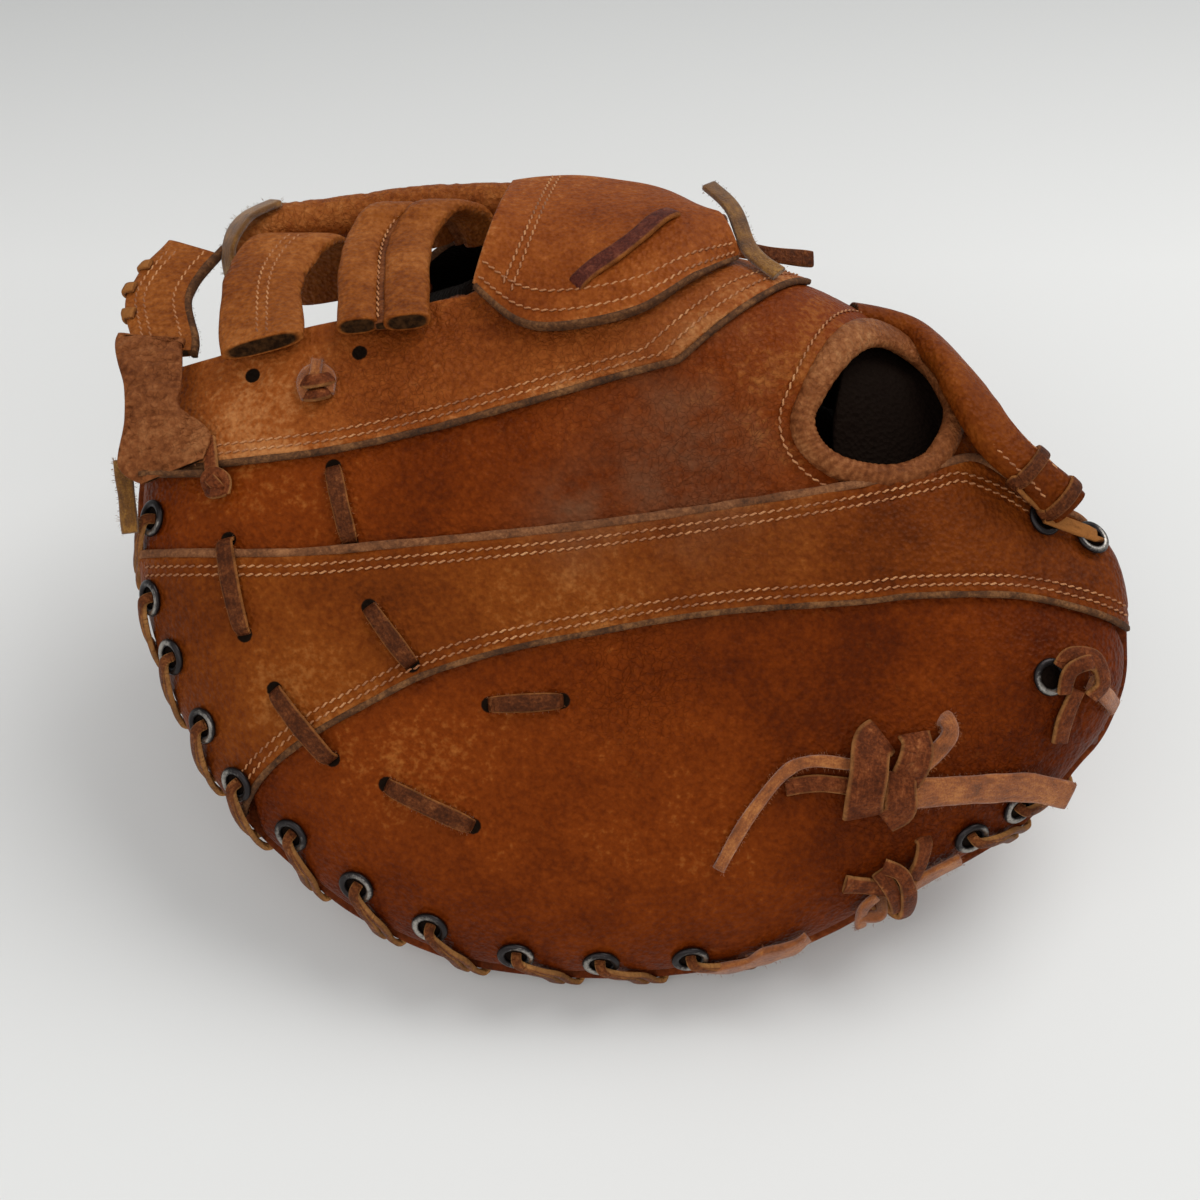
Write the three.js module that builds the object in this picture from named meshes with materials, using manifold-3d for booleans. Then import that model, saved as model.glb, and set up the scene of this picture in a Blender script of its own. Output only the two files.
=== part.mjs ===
// A first baseman's mitt for the left hand, lying palm down like a low tent.
// Millimetres, +Z up. +X points to the heel, -X to the fingertips, -Y to the little-finger rim.
//
// The whole mitt is drawn on one bent sheet. A place on it is (along, up): along is X, and up runs from
// the little-finger rim over the ridge and down to the thumb rim. Panels are patches of that sheet, domed
// above it, and the palm lies under it.
import * as THREE from 'three';
import { mergeVertices } from 'three/addons/utils/BufferGeometryUtils.js';
import Module from 'manifold-3d';

const wasm = await Module();
wasm.setup();

// Driving dimensions of the sheet.
const mittLength = 297; // fingertip rim to heel rim
const plateDepth = 210; // little-finger rim to the web edge, along the near plate
const nearTilt = THREE.MathUtils.degToRad(40);
const farTilt = THREE.MathUtils.degToRad(60);
const bendRadius = 16; // of the sheet over the ridge
const floorTrim = 2.5; // how much of the palm's edge is pressed flat on the floor
const domeHeight = 26; // back skin above the sheet
const rollWidth = 45; // how far in from the rim the dome rolls over
const webHeightShare = 0.4; // what is left of the dome at the web edge
const webRollWidth = 60;

// Leather, lace and metal.
const leather = 2.4;
const layerStep = 2; // a panel sewn over its neighbour stands this much higher
const gap = 0.3; // between pieces that touch
const seamGap = 0.7;
const palmThickness = 8;
const topHeight = 155; // of the web post and flap above the floor
const weltThickness = 3;
const weltWidth = 8;
const weltOverhang = 0.6;
const laceWidth = 5.2;
const laceThickness = 1.8;
const bindingRadius = 3.2;
const eyeletRadius = 5.5;
const eyeletBore = 3.3;
const eyeletHeight = 1.2;
const eyeletInset = 6; // in from the thumb rim
const eyeletSides = 10;
const thumbSteps = 14; // stations along the thumb rim, shared by all that meets it
const laceBow = 0.8; // how far a surface lace stands up in its middle
const loopSlant = 9; // how far along the rim a lace loop travels

// Web, flap and strap.
const barWidth = 25;
const barThickness = 5;
const barLift = 3.4; // of a bar's foot off the panel it is sewn to
const postRadius = 7.5;
const tipWidth = 19;
const tabWidth = 28;
const softThickness = 3;
const flapThickness = 3.6;
const strapWidth = 15;
const strapThickness = 9;
const fineLaceWidth = 4.4;

// Smooth lines on the sheet, as shares of mittLength and plateDepth.
const rimRows = [
  { along: -0.424, up: 0.86 }, // tip corner
  { along: -0.448, up: 0.79 },
  { along: -0.461, up: 0.7 }, // top seam
  { along: -0.461, up: 0.59 }, // upper seam
  { along: -0.445, up: 0.486 },
  { along: -0.424, up: 0.4 },
  { along: -0.394, up: 0.305 },
  { along: -0.354, up: 0.224 }, // lower seam
  { along: -0.306, up: 0.157 },
  { along: -0.246, up: 0.09 },
  { along: -0.172, up: 0.038 },
  { along: -0.101, up: 0.01 },
  { along: 0, up: 0 },
  { along: 0.091, up: 0.007 },
  { along: 0.172, up: 0.03 },
  { along: 0.226, up: 0.06 },
  { along: 0.286, up: 0.105 },
  { along: 0.394, up: 0.186 },
  { along: 0.444, up: 0.243 },
  { along: 0.48, up: 0.3 },
  { along: 0.505, up: 0.343 },
  { along: 0.525, up: 0.414 },
  { along: 0.527, up: 0.486 }, // lower seam
  { along: 0.525, up: 0.543 },
  { along: 0.514, up: 0.595 },
  { along: 0.488, up: 0.638 }, // heel corner
];
const webRows = [
  { along: -0.424, up: 0.86 },
  { along: -0.37, up: 0.876 },
  { along: -0.291, up: 0.91 },
  { along: -0.167, up: 0.946 },
  { along: -0.117, up: 0.966 },
];
const topSeamRows = [
  { along: -0.461, up: 0.7 },
  { along: -0.359, up: 0.711 },
  { along: -0.26, up: 0.727 },
  { along: -0.162, up: 0.757 },
  { along: -0.096, up: 0.783 },
  { along: -0.046, up: 0.803 },
  { along: 0.033, up: 0.834 },
  { along: 0.101, up: 0.858 },
  { along: 0.15, up: 0.876 },
  { along: 0.188, up: 0.9 },
];
const upperSeamRows = [
  { along: -0.461, up: 0.59 },
  { along: -0.307, up: 0.586 },
  { along: -0.21, up: 0.596 },
  { along: -0.144, up: 0.604 },
  { along: -0.021, up: 0.622 },
  { along: 0.101, up: 0.646 },
  { along: 0.24, up: 0.678 },
  { along: 0.31, up: 0.7 },
  { along: 0.35, up: 0.715 },
  { along: 0.395, up: 0.696 },
  { along: 0.437, up: 0.664 },
  { along: 0.488, up: 0.638 },
];
const lowerSeamRows = [
  { along: -0.354, up: 0.224 },
  { along: -0.325, up: 0.285 },
  { along: -0.278, up: 0.34 },
  { along: -0.215, up: 0.39 },
  { along: -0.165, up: 0.425 },
  { along: -0.097, up: 0.455 },
  { along: -0.029, up: 0.475 },
  { along: 0.105, up: 0.507 },
  { along: 0.246, up: 0.522 },
  { along: 0.3, up: 0.53 },
  { along: 0.4, up: 0.53 },
  { along: 0.475, up: 0.51 },
  { along: 0.527, up: 0.486 },
];
// Where the sheet starts to bend over, along the mitt.
const ridgeRows = [
  { along: -0.5, up: 1.03 },
  { along: -0.2, up: 1.03 },
  { along: -0.1, up: 0.98 },
  { along: 0, up: 0.885 },
  { along: 0.18, up: 0.805 },
  { along: 0.286, up: 0.75 },
  { along: 0.337, up: 0.72 },
  { along: 0.407, up: 0.69 },
  { along: 0.6, up: 0.67 },
];
// The free edge of the back at the wrist, from the hand hole to the heel corner.
const wristRows = [
  { along: 0.36, up: 0.79 },
  { along: 0.41, up: 0.72 },
  { along: 0.488, up: 0.638 },
];
// The thumb rim: down is the share of the way from the bend to the floor.
const thumbRimRows = [
  { along: 0.43, down: 0.82 }, // thumb heel corner
  { along: 0.4, down: 0.93 },
  { along: 0.337, down: 0.985 },
  { along: 0.27, down: 1 },
  { along: 0.18, down: 1 },
  { along: 0.1, down: 1 },
  { along: 0, down: 0.985 },
  { along: -0.11, down: 0.9 },
  { along: -0.18, down: 0.72 },
  { along: -0.215, down: 0.5 },
  { along: -0.22, down: 0.3 }, // thumb tip
];
const crotch = { along: -0.045, turn: 0.95 };
const strapRoot = { along: 0.285, turn: 0.95 };

const palmTop = -(weltThickness + laceThickness + 5 * gap);
const palmUnder = palmTop - palmThickness;
const nearRimFloor = -palmUnder * Math.cos(nearTilt) - floorTrim;
const thumbRimFloor = -palmUnder * Math.cos(farTilt) - floorTrim;
const bendTurn = nearTilt + farTilt;
const bendArc = bendRadius * bendTurn;
const mix = (a, b, share) => a + (b - a) * share;
const clamp = THREE.MathUtils.clamp;
const onSheet = (row) => new THREE.Vector2(row.along * mittLength, row.up * plateDepth);

// A smooth line through points on the sheet, read by its share of length.
function smoothLine(points) {
  const line = new THREE.SplineCurve(points);
  line.arcLengthDivisions = 300;
  return line;
}

const ridgeCurve = smoothLine(ridgeRows.map(onSheet));
const ridgeSamples = ridgeCurve.getPoints(120);

function ridgeAt(along) {
  const last = ridgeSamples.length - 1;
  let i = ridgeSamples.findIndex((sample) => sample.x > along);
  i = i < 0 ? last : Math.max(i, 1);
  const [a, b] = [ridgeSamples[i - 1], ridgeSamples[i]];
  return mix(a.y, b.y, clamp((along - a.x) / (b.x - a.x), 0, 1));
}

// A point on the sheet's own bent surface.
function basePoint(along, up) {
  const ridge = ridgeAt(along);
  const beyond = Math.max(up - ridge, 0);
  const angle = nearTilt - Math.min(beyond / bendRadius, bendTurn);
  const straight = Math.max(beyond - bendArc, 0);
  const y =
    Math.min(up, ridge) * Math.cos(nearTilt) +
    bendRadius * (Math.sin(nearTilt) - Math.sin(angle)) +
    straight * Math.cos(angle);
  const z =
    Math.min(up, ridge) * Math.sin(nearTilt) +
    bendRadius * (Math.cos(angle) - Math.cos(nearTilt)) +
    straight * Math.sin(angle);
  return new THREE.Vector3(along, y, nearRimFloor + z);
}

// The same point lifted by height along the sheet's normal.
function sheetPoint(along, up, height) {
  const reach = 2;
  const across = basePoint(along + reach, up).sub(basePoint(along - reach, up));
  const upward = basePoint(along, up + reach / 4).sub(basePoint(along, up - reach / 4));
  return basePoint(along, up).addScaledVector(across.cross(upward).normalize(), height);
}

// A place on the far side, from the share of the way down to the floor.
function farPlace(row) {
  const along = row.along * mittLength;
  const ridge = ridgeAt(along);
  const bendFall = bendRadius * (Math.cos(farTilt) - Math.cos(nearTilt));
  const drop = nearRimFloor + ridge * Math.sin(nearTilt) + bendFall - thumbRimFloor;
  return new THREE.Vector2(along, ridge + bendArc + (row.down * drop) / Math.sin(farTilt));
}

// A place on the bend itself, from the share of the turn.
function bendPlace(row) {
  const along = row.along * mittLength;
  return new THREE.Vector2(along, ridgeAt(along) + row.turn * bendArc);
}

const rimLine = smoothLine(rimRows.map(onSheet));
const thumbRimLine = smoothLine(thumbRimRows.map(farPlace));
const crotchPlace = bendPlace(crotch);
const thumbTip = thumbRimLine.getPointAt(1);
const strapPlace = bendPlace(strapRoot);
const webLine = smoothLine([...webRows.map(onSheet), crotchPlace]);
const rimSamples = [rimLine.getSpacedPoints(110), thumbRimLine.getSpacedPoints(60)];
const wristLine = smoothLine(wristRows.map(onSheet));
const webSamples = [webLine.getSpacedPoints(30), wristLine.getSpacedPoints(10), [crotchPlace, thumbTip]];

// The nearest point of some sampled lines: its distance, and the way in from it.
function nearest(place, lines) {
  const best = { distance: Infinity, away: new THREE.Vector2() };
  const span = new THREE.Vector2();
  const foot = new THREE.Vector2();
  for (const samples of lines) {
    for (let i = 1; i < samples.length; i++) {
      span.subVectors(samples[i], samples[i - 1]);
      foot.subVectors(place, samples[i - 1]);
      const share = clamp(foot.dot(span) / span.lengthSq(), 0, 1);
      foot.copy(samples[i - 1]).addScaledVector(span, share);
      const distance = foot.distanceTo(place);
      if (distance < best.distance) {
        best.distance = distance;
        best.inward = new THREE.Vector2(-span.y, span.x).normalize();
        best.away.subVectors(place, foot);
      }
    }
  }
  if (best.distance > 0.05) best.inward.copy(best.away).normalize();
  return best;
}

const webShareAt = (place) => {
  const share = clamp(nearest(place, webSamples).distance / webRollWidth, 0, 1);
  return mix(webHeightShare, 1, Math.sin((share * Math.PI) / 2));
};

// The back skin at a place: its point and its outward normal.
function skin(place, offset = 0) {
  const rim = nearest(place, rimSamples);
  const inside = Math.min(rim.distance / rollWidth, 1);
  const roll = Math.sqrt(1 - (1 - inside) ** 2);
  const web = webShareAt(place);
  const height = domeHeight * roll * web;
  const step = 0.5;
  const at = (dx, dy) => sheetPoint(place.x + dx, place.y + dy, height);
  const across = at(step, 0).sub(at(-step, 0)).divideScalar(2 * step);
  const upward = at(0, step).sub(at(0, -step)).divideScalar(2 * step);
  const normal = sheetPoint(place.x, place.y, height + 1).sub(at(0, 0));
  const webSlope = (dx, dy) =>
    (webShareAt(new THREE.Vector2(place.x + dx, place.y + dy)) - web) / step;
  const rimSlope = (domeHeight * web * (1 - inside)) / rollWidth;
  const slopeAlong = rimSlope * rim.inward.x + domeHeight * roll * roll * webSlope(step, 0);
  const slopeUp = rimSlope * rim.inward.y + domeHeight * roll * roll * webSlope(0, step);
  const outward = across.clone().cross(upward).multiplyScalar(roll);
  outward.addScaledVector(across.clone().cross(normal), slopeUp);
  outward.addScaledVector(normal.clone().cross(upward), slopeAlong);
  outward.normalize();
  return { point: at(0, 0).addScaledVector(outward, offset), outward };
}

// Solids from rings and grids of points.
function solidFrom(points, faces) {
  const geometry = new THREE.BufferGeometry();
  geometry.setAttribute('position', new THREE.Float32BufferAttribute(points.flatMap((p) => p.toArray()), 3));
  geometry.setIndex(faces);
  return geometry;
}

const manifoldOf = (geometry) => {
  const plain = geometry.clone();
  plain.deleteAttribute('normal');
  plain.deleteAttribute('uv');
  const merged = mergeVertices(plain, 1e-3);
  return new wasm.Manifold(
    new wasm.Mesh({
      numProp: 3,
      vertProperties: merged.attributes.position.array,
      triVerts: new Uint32Array(merged.index.array),
    }),
  );
};

const geometryOf = (solid) => {
  const mesh = solid.getMesh();
  const geometry = new THREE.BufferGeometry();
  geometry.setAttribute('position', new THREE.Float32BufferAttribute(Float32Array.from(mesh.vertProperties), 3));
  geometry.setIndex(Array.from(mesh.triVerts));
  return geometry;
};

const cut = (geometry, ...tools) =>
  geometryOf(tools.reduce((solid, tool) => solid.subtract(manifoldOf(tool)), manifoldOf(geometry)));
const join = (...geometries) =>
  geometryOf(geometries.map(manifoldOf).reduce((all, solid) => all.add(solid)));

// Two grids of points, one over the other, closed round their edges.
function slab(top, bottom) {
  const rows = top.length;
  const columns = top[0].length;
  const points = [...top.flat(), ...bottom.flat()];
  const upper = (i, j) => i * columns + j;
  const lower = (i, j) => rows * columns + upper(i, j);
  const faces = [];
  const quad = (a, b, c, d) => faces.push(a, b, c, a, c, d);
  for (let i = 1; i < rows; i++) {
    for (let j = 1; j < columns; j++) {
      quad(upper(i - 1, j - 1), upper(i, j - 1), upper(i, j), upper(i - 1, j));
      quad(lower(i - 1, j - 1), lower(i - 1, j), lower(i, j), lower(i, j - 1));
    }
  }
  for (let i = 1; i < rows; i++) {
    quad(upper(i, 0), upper(i - 1, 0), lower(i - 1, 0), lower(i, 0));
    quad(upper(i - 1, columns - 1), upper(i, columns - 1), lower(i, columns - 1), lower(i - 1, columns - 1));
  }
  for (let j = 1; j < columns; j++) {
    quad(upper(0, j - 1), upper(0, j), lower(0, j), lower(0, j - 1));
    quad(upper(rows - 1, j), upper(rows - 1, j - 1), lower(rows - 1, j - 1), lower(rows - 1, j));
  }
  return solidFrom(points, faces);
}

// A ring of section points for each stop of a path, closed by end faces or into a loop.
function sweep(stops, section, closed = false) {
  const count = stops.length;
  const points = [];
  stops.forEach((stop, i) => {
    const before = stops[closed ? (i + count - 1) % count : Math.max(i - 1, 0)].point;
    const after = stops[closed ? (i + 1) % count : Math.min(i + 1, count - 1)].point;
    const forward = after.clone().sub(before).normalize();
    const side = stop.side.clone().addScaledVector(forward, -stop.side.dot(forward)).normalize();
    const lift = forward.clone().cross(side);
    const scale = stop.scale ?? 1;
    for (const [across, up] of section)
      points.push(stop.point.clone().addScaledVector(side, across * scale).addScaledVector(lift, up * scale));
  });
  const sides = section.length;
  const faces = [];
  const at = (i, k) => (i % count) * sides + (k % sides);
  for (let i = 0; i < (closed ? count : count - 1); i++)
    for (let k = 0; k < sides; k++)
      faces.push(at(i, k), at(i, k + 1), at(i + 1, k + 1), at(i, k), at(i + 1, k + 1), at(i + 1, k));
  for (let k = 2; k < sides && !closed; k++) {
    faces.push(at(0, 0), at(0, k), at(0, k - 1));
    faces.push(at(count - 1, 0), at(count - 1, k - 1), at(count - 1, k));
  }
  return solidFrom(points, faces);
}

const flatSection = (width, thickness) => [
  [-width / 2, -thickness / 2],
  [width / 2, -thickness / 2],
  [width / 2, thickness / 2],
  [-width / 2, thickness / 2],
];
const roundSection = (width, thickness, sides = 8) =>
  Array.from({ length: sides }, (_, k) => {
    const turn = (2 * Math.PI * (k + 0.5)) / sides;
    return [(Math.cos(turn) * width) / 2, (Math.sin(turn) * thickness) / 2];
  });

// A panel of the back: a patch of the sheet between four lines, domed, one leather thick.
function panel(patch, columns, rows, over) {
  const top = [];
  const bottom = [];
  for (const u of columns) {
    const places = rows.map((v) => patch(u, v));
    top.push(places.map((place) => skin(place, over)).map((spot) => spot.point));
    bottom.push(places.map((place) => skin(place, over - leather)).map((spot) => spot.point));
  }
  return slab(top, bottom);
}

const even = (count) => Array.from({ length: count + 1 }, (_, i) => i / count);
const fineAtStart = (count) => even(count).map((share) => 1 - Math.cos((share * Math.PI) / 2));
const fineAtEnd = (count) => even(count).map((share) => Math.sin((share * Math.PI) / 2));
const fineAtBoth = (count) => even(count).map((share) => (1 - Math.cos(share * Math.PI)) / 2);

// A stretch of a line, between two shares of its length.
const stretch = (line, from, to) => (share) => line.getPointAt(clamp(mix(from, to, share), 0, 1));
const shareNear = (line, place) => {
  const shares = even(400);
  const distances = shares.map((share) => line.getPointAt(share).distanceTo(place));
  return shares[distances.indexOf(Math.min(...distances))];
};

// A patch of four lines: lower and upper run along, left and right run up.
const coons = (lower, upper, left, right) => (u, v) => {
  const place = lower(u).multiplyScalar(1 - v).addScaledVector(upper(u), v);
  place.addScaledVector(left(v), 1 - u).addScaledVector(right(v), u);
  place.addScaledVector(lower(0), -(1 - u) * (1 - v)).addScaledVector(lower(1), -u * (1 - v));
  return place.addScaledVector(upper(0), -(1 - u) * v).addScaledVector(upper(1), -u * v);
};

// Holds a patch back from its neighbours, by half a seam gap times the number given for a side.
const inset = (patch, { left = 0, right = 0, bottom = 0, top = 0 }) => (u, v) => {
  const width = patch(0, v).distanceTo(patch(1, v));
  const height = patch(u, 0).distanceTo(patch(u, 1));
  const squeeze = (share, length, low, high) => {
    const edge = Math.min(seamGap / 2 / length, 0.3);
    return mix(low * edge, 1 - high * edge, share);
  };
  return patch(
    squeeze(u, width, left, right),
    squeeze(v, height, bottom, top),
  );
};

const topSeam = smoothLine(topSeamRows.map(onSheet));
const upperSeam = smoothLine(upperSeamRows.map(onSheet));
const lowerSeam = smoothLine(lowerSeamRows.map(onSheet));
const rimAt = (row) => shareNear(rimLine, onSheet(row));
const rimTop = rimAt(topSeamRows[0]);
const rimUpper = rimAt(upperSeamRows[0]);
const rimLower = rimAt(lowerSeamRows[0]);
const rimHeel = rimAt(lowerSeamRows.at(-1));

// The line over the ridge where the near panels end and the thumb panel starts.
const crestRows = even(6).map((share) => ({
  along: mix(crotch.along, strapRoot.along, share),
  turn: mix(crotch.turn, strapRoot.turn, share),
}));
const crestLine = smoothLine(crestRows.map(bendPlace));
const crestAtSeam = shareNear(crestLine, bendPlace({ along: topSeamRows.at(-1).along, turn: 0.95 }));

const upperTop = smoothLine([
  ...topSeam.getSpacedPoints(20),
  ...even(3).slice(1).map((share) => crestLine.getPointAt(mix(crestAtSeam, 1, share))),
]);
const topTop = smoothLine([
  ...webRows.map(onSheet),
  ...even(4).map((share) => crestLine.getPointAt(mix(0, crestAtSeam, share))),
]);
const upperEnd = shareNear(upperSeam, onSheet({ along: strapRoot.along, up: 0.72 }));

const lowerPatch = (u, v) => {
  const rimPlace = rimLine.getPointAt(mix(rimLower, rimHeel, u));
  return rimPlace.lerp(lowerSeam.getPointAt(u), v);
};
const middlePatch = coons(
  stretch(lowerSeam, 0, 1),
  stretch(upperSeam, 0, 1),
  stretch(rimLine, rimLower, rimUpper),
  stretch(rimLine, rimHeel, 1),
);
const upperRight = (share) => upperSeam.getPointAt(upperEnd).lerp(strapPlace, share);
const upperPatch = coons(
  stretch(upperSeam, 0, upperEnd),
  stretch(upperTop, 0, 1),
  stretch(rimLine, rimUpper, rimTop),
  upperRight,
);
const topPatch = coons(
  stretch(topSeam, 0, 1),
  stretch(topTop, 0, 1),
  stretch(rimLine, rimTop, 0),
  (share) => topSeam.getPointAt(1).lerp(crestLine.getPointAt(crestAtSeam), share),
);
const thumbPatch = coons(
  stretch(crestLine, 0, 1),
  stretch(thumbRimLine, 1, 0),
  (share) => crestLine.getPointAt(0).lerp(thumbRimLine.getPointAt(1), share),
  (share) => crestLine.getPointAt(1).lerp(thumbRimLine.getPointAt(0), share),
);

// The round hole for the hand at the top of the back.
const holeCentre = { along: 0.27, up: 0.766 };
const holeHalfLength = 22.4;
const holeHalfWidth = 15.2;
const holeSteps = 20;
const holePlace = (k, grow) => {
  const turn = (2 * Math.PI * k) / holeSteps;
  const place = onSheet(holeCentre);
  place.x += (holeHalfLength + grow) * Math.cos(turn);
  place.y += (holeHalfWidth + grow) * Math.sin(turn);
  return place;
};

function holePlug() {
  const reach = 9;
  const points = [];
  for (const side of [reach, -reach]) {
    points.push(skin(onSheet(holeCentre), side).point);
    for (let k = 0; k < holeSteps; k++) points.push(skin(holePlace(k, bindingRadius + gap), side).point);
  }
  const faces = [];
  const ring = holeSteps + 1;
  for (let k = 0; k < holeSteps; k++) {
    const [a, b] = [1 + k, 1 + ((k + 1) % holeSteps)];
    faces.push(0, a, b, ring, ring + b, ring + a, a, ring + a, ring + b, a, ring + b, b);
  }
  return solidFrom(points, faces);
}

function holeBinding() {
  const stops = [];
  for (let k = 0; k < holeSteps; k++) {
    const spot = skin(holePlace(k, 0));
    stops.push({ point: spot.point, side: spot.outward });
  }
  return sweep(stops, roundSection(2 * bindingRadius, 2 * bindingRadius, 6), true);
}

// The palm: a padded sheet under the back, from a middle point out to its closed outline.
const palmMiddle = { along: 0.17, up: 0.83 };
const palmRings = [1, 0.94, 0.8, 0.62, 0.42, 0.2];

function palmOutline() {
  const heelNotch = new THREE.QuadraticBezierCurve(
    rimLine.getPointAt(1),
    strapPlace.clone().add(new THREE.Vector2(0.02 * mittLength, 0)),
    thumbRimLine.getPointAt(0),
  );
  const sides = [
    rimLine.getSpacedPoints(34),
    heelNotch.getSpacedPoints(8),
    thumbRimLine.getSpacedPoints(thumbSteps),
    [thumbRimLine.getPointAt(1).lerp(crotchPlace, 0.5)],
    webLine.getSpacedPoints(8).reverse(),
  ];
  return sides.flat().filter((place, i, all) => place.distanceTo(all[(i + 1) % all.length]) > seamGap);
}

function palm() {
  const outline = palmOutline();
  const middle = onSheet(palmMiddle);
  const count = outline.length;
  const points = [];
  for (const level of [palmTop, palmUnder]) {
    for (const ring of palmRings) {
      for (const place of outline) {
        const spot = middle.clone().lerp(place, ring);
        points.push(sheetPoint(spot.x, spot.y, level));
      }
    }
    points.push(sheetPoint(middle.x, middle.y, level));
  }
  const faces = [];
  const side = palmRings.length * count + 1;
  const at = (half, ring, k) => half * side + ring * count + (k % count);
  for (let k = 0; k < count; k++) {
    for (let ring = 1; ring < palmRings.length; ring++) {
      const [a, b, c, d] = [[ring - 1, k], [ring - 1, k + 1], [ring, k + 1], [ring, k]];
      faces.push(at(0, ...a), at(0, ...b), at(0, ...c), at(0, ...a), at(0, ...c), at(0, ...d));
      faces.push(at(1, ...b), at(1, ...a), at(1, ...d), at(1, ...b), at(1, ...d), at(1, ...c));
    }
    const last = palmRings.length - 1;
    faces.push(at(0, last, k), at(0, last, k + 1), side - 1);
    faces.push(at(1, last, k + 1), at(1, last, k), 2 * side - 1);
    faces.push(at(0, 0, k + 1), at(0, 0, k), at(1, 0, k));
    faces.push(at(0, 0, k + 1), at(1, 0, k), at(1, 0, k + 1));
  }
  return solidFrom(points, faces);
}

// The welt between back and palm, along a rim.
function welt(line, steps, from, to) {
  const top = [];
  const bottom = [];
  for (const share of even(steps)) {
    const at = mix(from, to, share);
    const rimPlace = line.getPointAt(at);
    const way = line.getTangentAt(at);
    const inward = new THREE.Vector2(-way.y, way.x);
    const places = [-weltOverhang, weltWidth].map((reach) => rimPlace.clone().addScaledVector(inward, reach));
    top.push(places.map((place) => sheetPoint(place.x, place.y, -gap)));
    bottom.push(places.map((place) => sheetPoint(place.x, place.y, -gap - weltThickness)));
  }
  return slab(top, bottom);
}

function eyelet(spot) {
  const profile = [
    [eyeletBore, 0],
    [eyeletRadius, 0],
    [eyeletRadius, eyeletHeight * 0.5],
    [mix(eyeletBore, eyeletRadius, 0.5), eyeletHeight],
    [eyeletBore, 0],
  ].map(([x, y]) => new THREE.Vector2(x, y));
  const ring = new THREE.LatheGeometry(profile, eyeletSides);
  const upright = new THREE.Vector3(0, 1, 0);
  ring.applyQuaternion(new THREE.Quaternion().setFromUnitVectors(upright, spot.outward));
  const seat = spot.point.clone().addScaledVector(spot.outward, gap);
  return ring.translate(seat.x, seat.y, seat.z);
}

// The rim lace: a strand between welt and palm, with a loop over the edge to each eyelet.
const laceLevel = -(weltThickness + 2 * gap + laceThickness / 2);
const laceReach = weltOverhang + gap + laceThickness / 2 + 0.2;
const onPanel = gap + laceThickness / 2;
const onEyelet = onPanel + gap + eyeletHeight;

function rimLace(line, steps, spots) {
  const length = line.getLength();
  const wayIn = (at) => {
    const way = line.getTangentAt(at);
    return new THREE.Vector2(-way.y, way.x);
  };
  const offRim = (share, reach, level) => {
    const at = clamp(share, 0, 1);
    const place = line.getPointAt(at).addScaledVector(wayIn(at), -reach);
    return sheetPoint(place.x, place.y, level);
  };
  const strand = even(steps).map((share) => {
    const inner = offRim(share, -laceWidth, laceLevel);
    const outer = offRim(share, -1, laceLevel);
    return { point: inner.clone().lerp(outer, 0.5), side: outer.sub(inner) };
  });
  const loops = spots.map(({ place, over }) => {
    const share = shareNear(line, place);
    const inset = line.getPointAt(share).distanceTo(place);
    const slid = (part) => clamp(share + (part * loopSlant) / length, 0, 1);
    const onSkin = (part, depth, lift) => {
      const at = slid(part);
      return skin(line.getPointAt(at).addScaledVector(wayIn(at), inset * depth), over + lift).point;
    };
    const points = [
      offRim(slid(1), -laceWidth / 2, laceLevel),
      offRim(slid(0.95), laceReach, laceLevel),
      offRim(slid(0.8), laceReach + over, -1),
      onSkin(0.6, 0.25, onPanel + 0.4),
      onSkin(0.3, 0.55, onEyelet + 0.8),
      onSkin(0, 1, onEyelet),
    ];
    const along = offRim(share + 0.01, 0, 0).sub(offRim(share, 0, 0));
    return sweep(points.map((point) => ({ point, side: along })), flatSection(laceWidth - 1, laceThickness));
  });
  return join(sweep(strand, flatSection(laceWidth - 1, laceThickness)), ...loops);
}

// A flat lace lying on the back, through places given by their offset above the skin.
function layLace(rows, width, thickness = laceThickness) {
  const spots = rows.map((row) => skin(onSheet(row), row.over + gap + thickness / 2));
  const stops = spots.map((spot, i) => {
    const next = spots[Math.min(i + 1, spots.length - 1)].point;
    const last = spots[Math.max(i - 1, 0)].point;
    return { point: spot.point, side: next.clone().sub(last).cross(spot.outward).normalize() };
  });
  return sweep(stops, flatSection(width, thickness));
}

const surfaceLace = (row) =>
  layLace(
    even(4).map((share) => ({
      along: mix(row.from[0], row.to[0], share),
      up: mix(row.from[1], row.to[1], share),
      over: row.over + laceBow * Math.sin(share * Math.PI),
    })),
    laceWidth,
  );

function knotLump(row, size) {
  const spot = skin(onSheet(row), row.over + gap + size[2] / 2);
  const lump = new THREE.SphereGeometry(0.5, 8, 6);
  lump.scale(size[0], size[2], size[1]);
  const turn = new THREE.Quaternion().setFromUnitVectors(new THREE.Vector3(0, 1, 0), spot.outward);
  lump.applyQuaternion(turn);
  return lump.translate(...spot.point.toArray());
}

// A place in space, as shares of the length, of the plate depth and of the height at the top.
const inSpace = (row) => new THREE.Vector3(row.x * mittLength, row.y * plateDepth, row.z * topHeight);

const ribbon = (rows, section, sideOf) =>
  sweep(rows.map((row) => ({ point: inSpace(row), side: sideOf(row), scale: row.wide })), section);

const material = (color, roughness = 0.65, metalness = 0) =>
  new THREE.MeshStandardMaterial({ color, roughness, metalness });
const tan = material(0xa8623a);
const russet = material(0x99502f);
const strapLeather = material(0xa05a38);
const laceLeather = material(0x5a3826, 0.75);
const suede = material(0x8f6424, 0.9);
const palmLeather = material(0xa0552f, 0.7);
const weltLeather = material(0xa4472a);
const gunmetal = material(0x3c3d40, 0.35, 0.9);

const mitt = new THREE.Group();
const add = (name, geometry, look) => {
  const mesh = new THREE.Mesh(geometry, look);
  mesh.name = name;
  mitt.add(mesh);
};

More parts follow.
